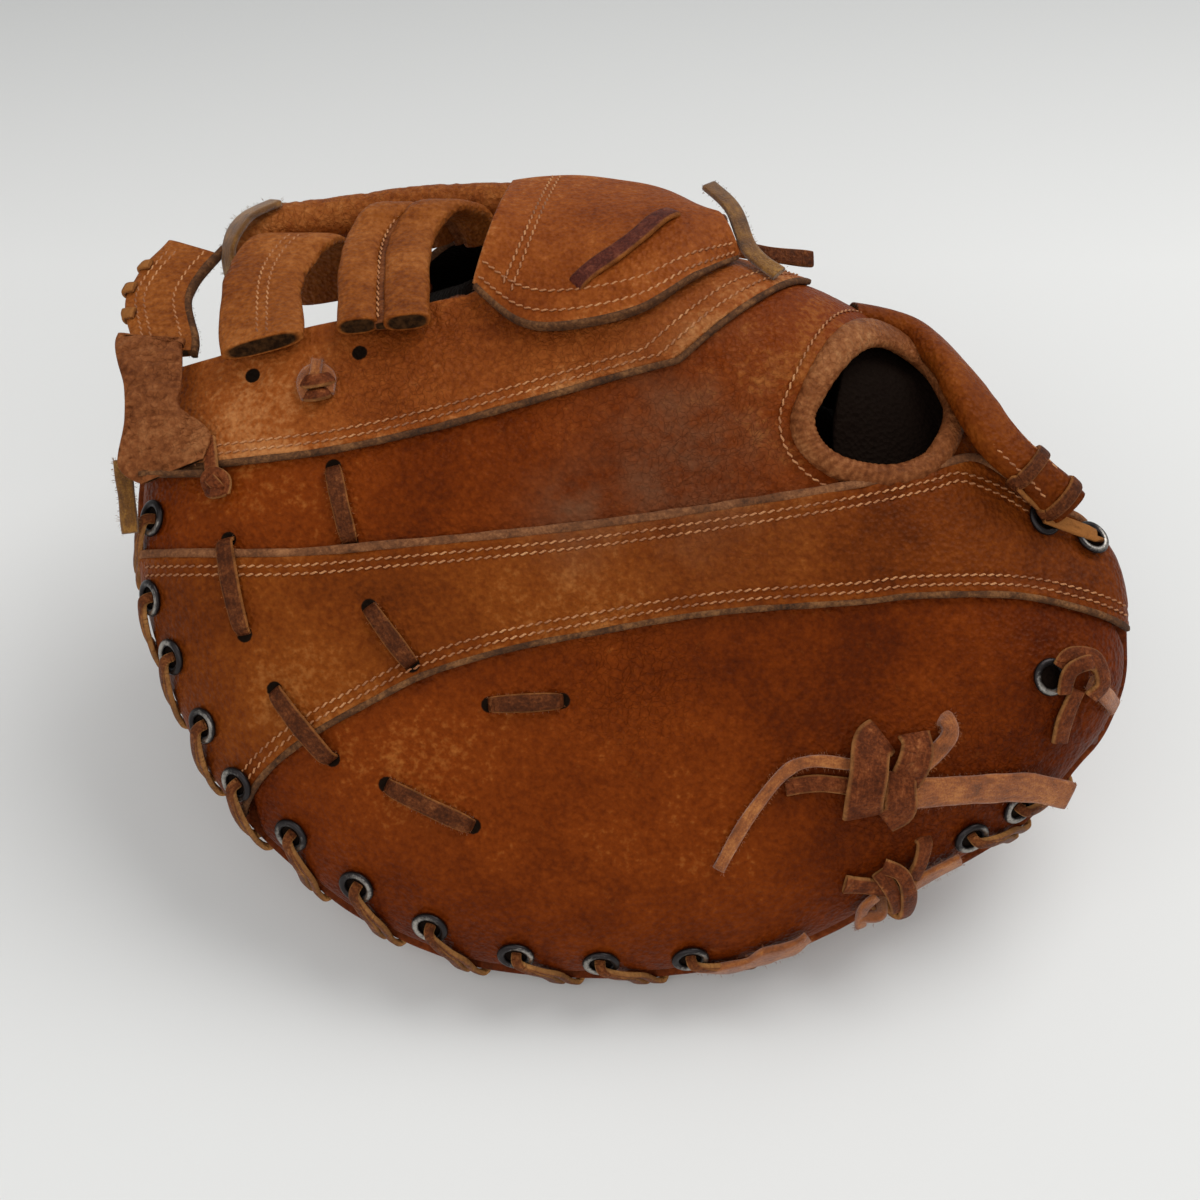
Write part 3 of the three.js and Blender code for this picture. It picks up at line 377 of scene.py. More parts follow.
# Relief of the worn leather, in millimetres: places as (along, up) shares, with how far they reach.
WRINKLE_FIELDS = [  # along, up, reach, depth, direction of the folds in degrees
    (0.086, 0.728, 34, 0.5, 20),
    (0.15, 0.75, 20, 0.55, 95),
    (-0.148, 0.915, 22, 0.5, 60),
    (-0.2, 0.82, 24, 0.3, 75),
    (-0.03, 0.86, 30, 0.25, 80),
    (0.03, 0.42, 24, 0.35, 100),
    (0.385, 0.3, 26, 0.4, 60),
    (0.44, 0.36, 18, 0.5, 80),
    (0.30, 0.2, 30, 0.3, 70),
]
GREY_WEAR = [(0.086, 0.728, 26), (0.06, 0.7, 18), (-0.02, 0.64, 14)]
# Darker patches of the back.
DARK_PATCHES = [
    (0.382, 0.33, 44), (0.44, 0.3, 36), (0.267, 0.24, 34), (0.2, 0.16, 34), (-0.33, 0.2, 34),
    (0.07, 0.4, 22), (0.3, 0.62, 20), (-0.25, 0.1, 26), (0.09, 0.06, 26), (-0.04, 0.99, 18),
]
LIGHT_WEAR = [
    (-0.149, 0.95, 14), (-0.34, 0.79, 26), (-0.04, 0.83, 20), (0.17, 0.84, 30), (-0.37, 0.66, 26),
    (-0.3, 0.42, 24), (-0.12, 0.26, 34), (0.1, 0.2, 30), (-0.39, 0.63, 18), (0.02, 0.56, 22),
]


def patches_of(places, table):
    """How much each place belongs to the round patches of a table."""
    amount = np.zeros(places.shape[:-1])
    for along, up, reach in table:
        distance = np.linalg.norm(places - on_sheet((along, up)), axis=-1)
        amount = np.maximum(amount, np.exp(-((distance / reach) ** 2)))
    return amount


def ripples(places, seed):
    """Smooth noise for flat arrays of places, one value each."""
    flat = places.reshape(-1, 2)
    values = [noise.noise(Vector((x, y, seed))) for x, y in flat]
    return np.array(values).reshape(places.shape[:-1])


def relief(places):
    """Folds and soft unevenness of the back, in millimetres."""
    height = 0.45 * ripples(places / 26, 3.1) + 0.16 * ripples(places / 9, 8.3)
    for along, up, reach, depth, turn in WRINKLE_FIELDS:
        centre = on_sheet((along, up))
        distance = np.linalg.norm(places - centre, axis=-1)
        near = distance < 2.4 * reach
        if not near.any():
            continue
        turn = math.radians(turn)
        span = places[near] - centre
        run = span[:, 0] * math.cos(turn) + span[:, 1] * math.sin(turn)
        across = -span[:, 0] * math.sin(turn) + span[:, 1] * math.cos(turn)
        folds = ripples(np.stack((run / 9, across / 2.6), axis=-1), along * 40)
        fade = np.exp(-((distance[near] / reach) ** 2))
        height[near] -= depth * fade * np.clip(1 - 4 * np.abs(folds), 0, 1)
    return height


# Meshes

def alone(piece):
    """Makes one object the only selected and active one."""
    bpy.ops.object.select_all(action="DESELECT")
    piece.select_set(True)
    bpy.context.view_layer.objects.active = piece
    return piece


def apply_modifier(piece, kind, **settings):
    alone(piece)
    modifier = piece.modifiers.new(kind.title(), kind)
    for key, value in settings.items():
        setattr(modifier, key, value)
    bpy.ops.object.modifier_apply(modifier=modifier.name)


def set_points(piece, points):
    points = (np.asarray(points).reshape(-1, 3) + SHEET_CORNER) * MM
    piece.data.vertices.foreach_set("co", points.astype(np.float32).ravel())
    piece.data.update()


def set_values(piece, name, values):
    layer = piece.data.attributes.new(name, "FLOAT", "POINT")
    layer.data.foreach_set("value", np.asarray(values, np.float32).ravel())


def grid_piece(name, columns, rows):
    """A flat grid, and each vertex's shares across and up it."""
    bpy.ops.object.select_all(action="DESELECT")
    bpy.ops.mesh.primitive_grid_add(x_subdivisions=columns, y_subdivisions=rows, size=1)
    piece = bpy.context.active_object
    piece.name = piece.data.name = name
    flat = np.zeros(len(piece.data.vertices) * 3)
    piece.data.vertices.foreach_get("co", flat)
    flat = flat.reshape(-1, 3)
    return piece, flat[:, 0] + 0.5, flat[:, 1] + 0.5


def delete_faces(piece, chosen):
    alone(piece)
    bpy.ops.object.mode_set(mode="EDIT")
    bpy.ops.mesh.select_all(action="DESELECT")
    bpy.ops.mesh.select_mode(type="FACE")
    bpy.ops.object.mode_set(mode="OBJECT")
    piece.data.polygons.foreach_set("select", chosen)
    bpy.ops.object.mode_set(mode="EDIT")
    bpy.ops.mesh.delete(type="FACE")
    bpy.ops.object.mode_set(mode="OBJECT")


def merge_doubles(piece, distance=1e-6):
    alone(piece)
    bpy.ops.object.mode_set(mode="EDIT")
    bpy.ops.mesh.select_all(action="SELECT")
    bpy.ops.mesh.remove_doubles(threshold=distance)
    bpy.ops.object.mode_set(mode="OBJECT")


def joined(name, pieces):
    alone(pieces[0])
    for piece in pieces[1:]:
        piece.select_set(True)
    bpy.ops.object.join()
    pieces[0].name = pieces[0].data.name = name
    return pieces[0]


def made(name, data):
    """An object for a mesh, a light or a camera, in the scene."""
    piece = bpy.data.objects.new(name, data)
    bpy.context.scene.collection.objects.link(piece)
    return piece


def finish_piece(piece, chosen, nodes=()):
    """Gives a piece its materials and its body, and hides the solids of the nodes it stands for."""
    for look in chosen:
        piece.data.materials.append(looks[look])
    alone(piece)
    bpy.ops.object.shade_smooth()
    if nodes:
        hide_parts(*nodes)
    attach(piece, "root")
    return piece


def strip(name, points, sides, width, thickness, scales=None, box=0.42, uneven=0.04, ring=14,
          step=1.1, profile=None):
    """A strap or lace: a rounded section carried along points, its flat side along sides."""
    points = np.asarray(points, float)
    sides = np.broadcast_to(np.asarray(sides, float), points.shape)
    scales = np.ones((len(points), 2)) if scales is None else np.asarray(scales, float)
    if scales.ndim == 1:
        scales = np.stack((scales, scales), axis=-1)
    reach = np.linalg.norm(np.diff(points, axis=0), axis=1).sum()
    rings = max(int(reach / step), 6)
    t = np.linspace(0, len(points) - 1, rings + 1)
    # The ends close over a cut face: a point, then the face's rim, then the full section.
    t = np.concatenate(([0, 0, 0], t, [len(points) - 1] * 3))
    shrink = np.ones(len(t))
    shrink[[0, -1]] = 0
    shrink[[1, -2]] = 0.78
    shrink[[2, -3]] = 0.94
    piece, u, v = grid_piece(name, len(t) - 1, ring)
    column = np.rint(u * (len(t) - 1)).astype(int)
    centre = flow(points, t)
    ahead, behind = flow(points, t + 0.05), flow(points, t - 0.05)
    forward = unit(ahead - behind)
    side = flow(sides, t)
    side = unit(side - forward * (side * forward).sum(axis=1, keepdims=True))
    lift = np.cross(side, forward)
    grow = flow(scales, t) * shrink[:, None]
    waver = [noise.noise(Vector((k * step / 7, len(name), reach))) for k in range(len(t))]
    wobble = 1 + uneven * np.array(waver)
    angle = 2 * math.pi * v
    cos, sin = np.cos(angle), np.sin(angle)
    x = np.sign(cos) * np.abs(cos) ** box
    y = np.sign(sin) * np.abs(sin) ** box
    if profile is not None:
        y = y * profile(x)
    across = x * width / 2 * (grow[:, 0] * wobble)[column]
    up = y * thickness / 2 * grow[:, 1][column]
    set_points(piece, centre[column] + side[column] * across[:, None] + lift[column] * up[:, None])
    set_values(piece, "run", u * reach * MM)
    set_values(piece, "rim", np.clip(np.abs(x) * 6 - 5, 0, 1))
    set_values(piece, "flesh", (y < -0.5).astype(float))
    set_values(piece, "cross", x * width / 2 * MM)
    set_values(piece, "cap", np.isin(column, (0, 1, len(t) - 2, len(t) - 1)).astype(float))
    merge_doubles(piece)
    return piece


def sides_of(points, outward):
    """The ways across a row of points that lies flat under outward."""
    return unit(np.cross(np.gradient(points, axis=0), outward))


def over_back(rows):
    """Points and across ways for a strip that lies on the back: rows of along mm, up mm, height."""
    rows = np.asarray(rows, float)
    points, outward = skin(rows[:, :2], rows[:, 2])
    return points, sides_of(points, outward)


def fuzz(name, hosts, count, length, seed, edge_only=True):
    """Loose fibres standing off the strips in hosts."""
    chance = random.Random(seed)
    points, faces = [], []
    for host in hosts:
        mesh = host.data
        rim = [item.value for item in mesh.attributes["rim"].data]
        spots = [v for v in mesh.vertices if not edge_only or rim[v.index] > 0.4]
        for _ in range(count):
            vertex = chance.choice(spots)
            root = vertex.co + Vector([chance.uniform(-0.5, 0.5) * MM for _ in range(3)])
            lean = Vector([chance.uniform(-0.7, 0.7) for _ in range(3)])
            tip = root + (vertex.normal + lean).normalized() * length * MM * chance.uniform(0.4, 1)
            wide = vertex.normal.orthogonal().normalized() * HAIR_WIDTH * MM
            base = len(points)
            points += [root - wide, root + wide, tip]
            faces.append((base, base + 1, base + 2))
    mesh = bpy.data.meshes.new(name)
    mesh.from_pydata(points, [], faces)
    return made(name, mesh)


def bead_mesh(length, width):
    """One stitch: a long bead, pinched at its ends, in millimetres."""
    bpy.ops.object.select_all(action="DESELECT")
    bpy.ops.mesh.primitive_uv_sphere_add(segments=8, ring_count=6, radius=0.5)
    bead = bpy.context.active_object
    points = np.array([v.co for v in bead.data.vertices])
    faces = [tuple(face.vertices) for face in bead.data.polygons]
    bpy.data.objects.remove(bead)
    points = points[:, [2, 0, 1]] * (length, width, width * 0.8)
    points[:, 1] += 0.16 * np.sin(points[:, 0] / length * 2 * math.pi)
    return points, faces


def sew(name, rows):
    """Finishes a piece of beads along rows of points with outward ways: each row is (points, outward)."""
    sizes = bpy.context.scene.mitt_sizes
    pitch, length, width = (
        round(size / MM, 4) for size in (sizes.stitch_pitch, sizes.stitch_length, sizes.stitch_width))
    bead, bead_faces = bead_mesh(length, width)
    chance = random.Random(STITCH_SEED)
    points, faces = [], []
    for line, outward in rows:
        steps = np.linalg.norm(np.diff(line, axis=0), axis=1)
        reach = np.concatenate(([0], np.cumsum(steps)))
        for place in np.arange(pitch / 2, reach[-1], pitch):
            at = lambda s, data: np.array([np.interp(s, reach, axis) for axis in data.T])
            centre = at(place, line)
            up = unit(at(place, outward))
            forward = unit(at(place + 1, line) - at(place - 1, line))
            side = unit(np.cross(up, forward))
            tilt = 0.1 + chance.uniform(-0.05, 0.05)
            forward, side = forward + side * tilt, side - forward * tilt
            base = len(points) * len(bead)
            points.append(centre + bead[:, :1] * forward + bead[:, 1:2] * side + bead[:, 2:] * up)
            faces += [tuple(base + i for i in face) for face in bead_faces]
    mesh = bpy.data.meshes.new(name)
    mesh.from_pydata((np.concatenate(points) + SHEET_CORNER) * MM, [], faces)
    return finish_piece(made(name, mesh), ["thread"])


# Materials

def paint(red, green, blue):
    """A screen colour of 0 to 255 as the linear colour that a shader takes."""
    linear = lambda c: c / 12.92 if c <= 0.04045 else ((c + 0.055) / 1.055) ** 2.4
    return (*(linear(c / 255) for c in (red, green, blue)), 1.0)


class Value:
    """A number in a shader: an expression on it adds its Math nodes."""

    def __init__(self, look, socket):
        self.look, self.socket = look, socket

    def math(self, operation, *inputs):
        sockets = dict(enumerate(inputs))
        return Value(self.look, self.look.node("Math", {"operation": operation}, sockets))

    def __add__(self, other):
        return self.math("ADD", self, other)

    def __radd__(self, other):
        return self.math("ADD", other, self)

    def __sub__(self, other):
        return self.math("SUBTRACT", self, other)

    def __rsub__(self, other):
        return self.math("SUBTRACT", other, self)

    def __mul__(self, other):
        return self.math("MULTIPLY", self, other)

    def __rmul__(self, other):
        return self.math("MULTIPLY", other, self)

    def held(self, low=0.0, high=1.0):
        return self.math("MINIMUM", self.math("MAXIMUM", self, low), high)


class Look:
    """A material, wired as its parts are asked for."""

    def __init__(self, name):
        self.material = bpy.data.materials.new(name)
        self.material.use_nodes = True
        self.tree = self.material.node_tree
        self.shader = self.tree.nodes["Principled BSDF"]
        self.place = self.node("TexCoord", {}, {}, "Object")

    def feed(self, socket, value):
        if isinstance(value, Value):
            value = value.socket
        if isinstance(value, bpy.types.NodeSocket):
            self.tree.links.new(value, socket)
        else:
            socket.default_value = value

    def node(self, kind, settings, sockets, output=0):
        """Adds a node, gives it its settings and sockets, and returns one of its outputs."""
        node = self.tree.nodes.new("ShaderNode" + kind)
        for key, value in settings.items():
            if key == "stops":
                ramp = node.color_ramp
                while len(ramp.elements) < len(value):
                    ramp.elements.new(0.5)
                for element, (position, colour) in zip(ramp.elements, value):
                    element.position, element.color = position, colour
            else:
                setattr(node, key, value)
        for key, value in sockets.items():
            self.feed(node.inputs[key], value)
        return node.outputs[output]

    def attribute(self, name):
        return Value(self, self.node("Attribute", {"attribute_name": name}, {}, "Fac"))

    def noise(self, scale, detail=4.0, roughness=0.6, place=None):
        sockets = {"Vector": place or self.place, "Scale": scale, "Detail": detail, "Roughness": roughness}
        return Value(self, self.node("TexNoise", {}, sockets))

    def cells(self, scale, feature="F1", place=None):
        sockets = {"Vector": place or self.place, "Scale": scale}
        return Value(self, self.node("TexVoronoi", {"feature": feature}, sockets))

    def warped(self, scale, amount):
        cloud = self.node("TexNoise", {}, {"Vector": self.place, "Scale": scale, "Detail": 3.0}, 1)
        shift = self.node("VectorMath", {"operation": "SCALE"}, {0: cloud, "Scale": amount})
        return self.node("VectorMath", {"operation": "ADD"}, {0: self.place, 1: shift})

    def along(self, run_scale, cross_scale):
        """A place on a strip: how far along it and across it."""
        run = self.attribute("run") * run_scale
        cross = self.attribute("cross") * cross_scale
        return self.node("CombineXYZ", {}, {0: run, 1: cross})

    def ramp(self, value, stops):
        return self.node("ValToRGB", {"stops": stops}, {0: value})

    def blend(self, share, a, b):
        return self.node("Mix", {"data_type": "RGBA"}, {0: share, 6: a, 7: b}, 2)

    def finish(self, colour, roughness, height, depth, strength=0.8, **constants):
        shader = self.shader.inputs
        bump = self.node("Bump", {}, {"Strength": strength, "Distance": depth, "Height": height})
        self.feed(shader["Base Color"], colour)
        self.feed(shader["Roughness"], roughness)
        self.feed(shader["Normal"], bump)
        for key, value in constants.items():
            shader[key.replace("_", " ")].default_value = value
        return self.material


SHADES = (0.28, 0.4, 0.5, 0.6, 0.73)
WARM_GLOSS, LACE_GLOSS = (1.0, 0.62, 0.36, 1.0), (1.0, 0.66, 0.42, 1.0)


def leather(name, tones, creases=0.15, roughness=0.5):
    """Worn, mottled leather, with painted shade in its crease lines, its holes and along some edges and
    folds: tones run from the darkest to the palest.
    """
    look = Look(name)
    dark, light, grey = (look.attribute(word) for word in ("dark", "light", "grey"))
    edge, crease, hole = (look.attribute(word) for word in ("edge", "crease", "hole"))
    hole = (hole * 14 - 6.5).held()
    broad, middling, fine = look.noise(19, 2, 0.5), look.noise(85, 4, 0.66), look.noise(520, 2, 0.6)
    # dark holds darker patches and painted shade: along edges under raised pieces, in the gathers' hollows
    # and in pressed creases.
    tone = broad * 0.42 + middling * 0.26 + fine * 0.32 + light * 0.085 - dark * 0.075
    tone = tone + edge * (middling - 0.3) * 0.5
    colour = look.ramp(tone, list(zip(SHADES, tones)))
    net = look.cells(420, "DISTANCE_TO_EDGE", look.warped(170, 0.008))
    patchy = (broad * 2.6 + fine - 1.5).held()
    drawn = {"Vector": look.place, "Rotation": (0, 0, 0.5), "Scale": (1, 0.28, 0.4)}
    folds = look.noise(240, 3, 0.65, look.node("Mapping", {}, drawn))
    lines = (1 - net * 12).held() * (crease * 0.6 + creases * patchy).held()
    # Painted shade: the crease lines are darkened.
    colour = look.blend(lines * 0.2, colour, tones[0])
    rub = (grey * (middling * 2.6 - 0.7)).held()
    colour = look.blend(rub * 0.7, colour, paint(100, 70, 50))
    scuff = (look.noise(150, 4, 0.75) * 9 - 5.7).held()
    colour = look.blend(scuff * 0.2, colour, tones[4])
    # Painted shade: punched holes, and faces turned up inside the hand hole, go near-black.
    colour = look.blend(hole, colour, paint(14, 8, 6))
    cap = look.attribute("cap")
    colour = look.blend(cap, colour, look.ramp(fine, [(0.36, paint(30, 18, 10)), (0.62, paint(60, 38, 20))]))
    pores = look.cells(700.0)
    height = pores * 0.8 + fine * 0.6 - lines * 0.6 + folds * 0.4
    shine = roughness + (middling - 0.5) * 0.35 + scuff * 0.12 + rub * 0.14 + hole * 0.3
    return look.finish(colour, (shine + cap * 0.4).held(0.25, 0.95), height, 0.0007,
                       Specular_IOR_Level=0.11, Specular_Tint=WARM_GLOSS)


def raw_leather(name, tones):
    """The cut, fibrous edge of the hide."""
    look = Look(name)
    fibre = look.noise(900, 5, 0.7)
    patch = look.noise(120, 4)
    colour = look.ramp(fibre * 0.5 + patch * 0.5, list(zip((0.36, 0.5, 0.64), tones)))
    height = fibre + look.noise(2500, 2) * 0.5
    return look.finish(colour, 0.88 + (fibre - 0.5) * 0.1, height, 0.0005, Specular_IOR_Level=0.25)


def lace_leather(name, tones, rim_colour, roughness=0.55, worn=0.8):
    """Rawhide lace: streaked along its length, paler at its cut edges and on its flesh side, with painted
    shade in its cracks.
    """
    look = Look(name)
    rim, flesh = look.attribute("rim"), look.attribute("flesh")
    streak = look.noise(1.0, 3, 0.6, look.along(260, 1100))
    patch = look.noise(190, 4, 0.7)
    speck = look.noise(1100, 3, 0.7)
    tone = streak * 0.2 + patch * 0.45 + speck * 0.35
    colour = look.ramp(tone, list(zip((0.34, 0.47, 0.56, 0.66), tones)))
    cut = (rim * (patch * 2.2 - 0.35) * worn).held()
    colour = look.blend(cut, colour, rim_colour)
    colour = look.blend(flesh * 0.75, colour, rim_colour)
    cracks = look.cells(1.0, "DISTANCE_TO_EDGE", look.along(420, 160))
    cracks = (1 - cracks * 9).held() * (patch * 3 - 1.3).held()
    # Painted shade: the cracks are darkened.
    colour = look.blend(cracks * 0.5, colour, tones[0])
    height = speck + streak * 0.4 + patch * 0.8 - cracks
    shine = roughness + cut * 0.3 + flesh * 0.25 + (patch - 0.5) * 0.3
    return look.finish(colour, shine.held(0.25, 0.98), height, 0.0007,
                       Specular_IOR_Level=0.16, Specular_Tint=LACE_GLOSS)


def suede(name, tones):
    """Soft fuzzy suede, lighter where its nap stands."""
    look = Look(name)
    nap = look.noise(1900, 5, 0.75)
    patch = look.noise(150, 4, 0.6)
    streak = look.noise(1.0, 3, 0.6, look.along(300, 900))
    colour = look.ramp(nap * 0.35 + patch * 0.4 + streak * 0.25, list(zip((0.36, 0.5, 0.62), tones)))
    return look.finish(colour, 0.9 + (nap - 0.5) * 0.1, nap + streak * 0.6, 0.0005,
                       Sheen_Weight=0.35, Sheen_Roughness=0.5, Specular_IOR_Level=0.2)


def gunmetal(name):
    """Blackened eyelet metal, rubbed bright on its crown."""
    look = Look(name)
    wear = look.attribute("wear")
    spots, haze = look.noise(900, 5, 0.7), look.noise(260, 3)
    bare = (wear * 1.5 + (spots - 0.5) * 2.4 + (haze - 0.5) * 1.6 - 0.85).held()
    colour = look.blend(bare, paint(46, 42, 42), paint(160, 154, 146))
    look.feed(look.shader.inputs["Metallic"], 0.9)
    return look.finish(colour, 0.34 + (spots - 0.5) * 0.3 - bare * 0.06, spots, 0.00008)


def thread(name, tones):
    """Waxed stitching thread, dirty in places."""
    look = Look(name)
    patch, fibre = look.noise(70, 4), look.noise(2600, 3)
    tone = patch * 0.6 + fibre * 0.4
    colour = look.ramp(tone, list(zip((0.38, 0.52, 0.66), tones)))
    return look.finish(colour, 0.66 + (fibre - 0.5) * 0.2, fibre, 0.0002)


def floor_with_painted_falloff(name, colour):
    look = Look(name)
    cloud = look.noise(3, 3)
    # Painted shade: the floor greys towards the back, standing in for the falloff of the light.
    parts = look.node("SeparateXYZ", {}, {0: look.place}, 1)
    far = (Value(look, parts) * 2.6 - 0.62).held()
    tint = look.blend(far * 0.8 + cloud * 0.04, colour, paint(176, 177, 176))
    return look.finish(tint, 0.75 + (cloud - 0.5) * 0.06, cloud, 0.0001, 0.1, Specular_IOR_Level=0.2)


looks = {}


def make_looks(colours):
    tan, base, deep = (tuple(colour) for colour in (colours.tan, colours.russet, colours.maroon))
    looks["back"] = leather("worn_russet_leather", (
        deep, paint(80, 26, 1), base, paint(116, 48, 6), paint(154, 88, 36)))
    looks["strip"] = leather("worn_strip_leather", (
        paint(60, 20, 2), paint(84, 33, 4), paint(104, 45, 7), paint(122, 59, 14), paint(154, 92, 42)))
    looks["top"] = leather("worn_tan_leather", (
        paint(72, 26, 6), paint(102, 44, 11), tan, paint(142, 74, 28), paint(178, 116, 66)))
    looks["bar"] = leather("rubbed_bar_leather", (
        paint(78, 34, 9), paint(110, 54, 17), paint(136, 74, 28), paint(160, 96, 46),
        paint(196, 140, 88)), creases=0.3)
    looks["roll"] = leather("dark_roll_leather", (
        paint(70, 28, 8), paint(100, 46, 14), paint(126, 64, 23), paint(152, 88, 40),
        paint(188, 128, 78)), creases=0.3, roughness=0.45)
    looks["tab"] = leather("creased_tab_leather", (
        paint(58, 26, 12), paint(90, 46, 22), paint(120, 68, 36), paint(146, 92, 54),
        paint(180, 130, 86)), creases=0.3)
    looks["palm"] = leather("palm_leather", (
        paint(60, 24, 12), paint(98, 46, 22), paint(132, 70, 38), paint(158, 94, 56),
        paint(188, 128, 82)), creases=0.5)
    looks["welt"] = leather("red_welt_leather", (
        paint(44, 14, 4), paint(68, 24, 6), paint(92, 36, 9), paint(114, 52, 18),
        paint(150, 84, 40)), creases=0.1)
    # Near-black lining: painted shade for the inside of the shell, the eyelet bores and the gap under the
    # strap.
    looks["shade_lining"] = leather("painted_shade_lining", (
        paint(3, 2, 2), paint(5, 3, 3), paint(8, 4, 4), paint(12, 7, 6), paint(20, 12, 10)),
        roughness=0.85)
    looks["raw"] = raw_leather("raw_edge", (paint(46, 26, 12), paint(86, 52, 26), paint(132, 88, 50)))
    looks["pale_raw"] = raw_leather("pale_raw_edge", (
        paint(70, 40, 20), paint(112, 68, 38), paint(150, 100, 62)))
    looks["lace"] = lace_leather("dark_lace", (
        paint(40, 15, 7), paint(70, 32, 14), paint(98, 50, 24), paint(138, 84, 46)),
        paint(164, 106, 54))
    looks["rim_lace"] = lace_leather("worn_rim_lace", (
        paint(48, 20, 9), paint(86, 42, 19), paint(118, 66, 32), paint(158, 104, 60)),
        paint(178, 126, 72), 0.5)
    looks["knot"] = lace_leather("knot_lace", (
        paint(48, 17, 7), paint(84, 37, 16), paint(116, 58, 28), paint(152, 92, 52)),
        paint(174, 122, 70), 0.5)
    looks["plum"] = lace_leather("plum_lace", (
        paint(42, 14, 12), paint(72, 30, 24), paint(96, 46, 34), paint(130, 78, 54)),
        paint(168, 104, 44))
    looks["suede"] = suede("golden_suede", (paint(62, 34, 6), paint(112, 70, 16), paint(156, 110, 42)))
    looks["orange_suede"] = suede("orange_suede", (
        paint(88, 44, 16), paint(142, 78, 32), paint(186, 118, 58)))
    looks["metal"] = gunmetal("gunmetal_eyelets")
    looks["thread"] = thread("tan_thread", (paint(116, 64, 30), tuple(colours.thread), paint(204, 150, 98)))


# Pieces

LEVEL = (1.0, 0, 0)  # the way across most strips of the web


def space(row):
    """A place given as shares of the length, the plate depth and the height at the top."""
    return np.array(row[:3], float) * (LENGTH, DEPTH, TOP_HEIGHT)


def spaced(rows):
    return np.array([space(row) for row in rows])


HOLE_STEPS = 160
HOLE_SEWN = slice(27, 121)  # the steps round the hand hole that are sewn, from its right side
HOLE_SEAM = 6.6


def hole_line(grow):
    turn = np.linspace(0, 2 * math.pi, HOLE_STEPS + 1)
    centre = on_sheet(HOLE_CENTRE)
    return np.stack((
        centre[0] + (HOLE_HALF[0] + grow) * np.cos(turn),
        centre[1] + (HOLE_HALF[1] + grow) * np.sin(turn),
    ), axis=-1)


SURFACE_LACES = [  # from, to, over
    ((-0.257, 0.707), (-0.239, 0.601), 0.0),
    ((-0.358, 0.607), (-0.339, 0.478), LAYER_STEP),
    ((-0.22, 0.515), (-0.179, 0.437), LAYER_STEP),
    ((-0.31, 0.404), (-0.256, 0.309), LAYER_STEP),
    ((-0.204, 0.275), (-0.121, 0.219), 0.0),
    ((-0.106, 0.383), (-0.036, 0.388), 0.0),
]
LACE_HOLES = [end for start, stop, _ in SURFACE_LACES for end in (start, stop)]
LACE_HOLES += [(-0.342, 0.838), (-0.236, 0.868)]
PUNCH = 2.3  # radius of a punched lace hole

RIM_EYELETS = [
    (-0.44, 0.64), (-0.436, 0.531), (-0.414, 0.45), (-0.382, 0.356), (-0.349, 0.277),
    (-0.3, 0.203), (-0.236, 0.133), (-0.165, 0.077), (-0.082, 0.037), (0.001, 0.026),
    (0.088, 0.032), (0.362, 0.199), (0.409, 0.24),
]
HEEL_EYELETS = [(0.434, 0.638, 2.6), (0.485, 0.607, 3.2), (0.432, 0.42, 0.0)]


def dents(places):
    """How far the leather is drawn down round punched holes and eyelets."""
    depth = np.zeros(len(places))
    for row in LACE_HOLES:
        distance = np.linalg.norm(places - on_sheet(row), axis=-1)
        depth += 1.3 * np.exp(-((distance / 4.2) ** 2))
    for row in RIM_EYELETS:
        distance = np.linalg.norm(places - on_sheet(row), axis=-1)
        depth += 0.35 * np.exp(-((distance / 7.5) ** 2))
    centre = on_sheet(HOLE_CENTRE)
    span = (places - centre) / HOLE_HALF
    ring = np.linalg.norm(span, axis=-1)
    turn = np.arctan2(span[:, 1], span[:, 0])
    gathers = 0.5 + 0.5 * np.sin(turn * 23 + 2 * np.sin(turn * 5))
    gathers *= 0.45 + 0.55 * np.cos(turn - 3.9)
    depth += 0.9 * gathers.clip(0, 1) * np.exp(-(((ring - 1.15) / 0.34) ** 2))
    return depth


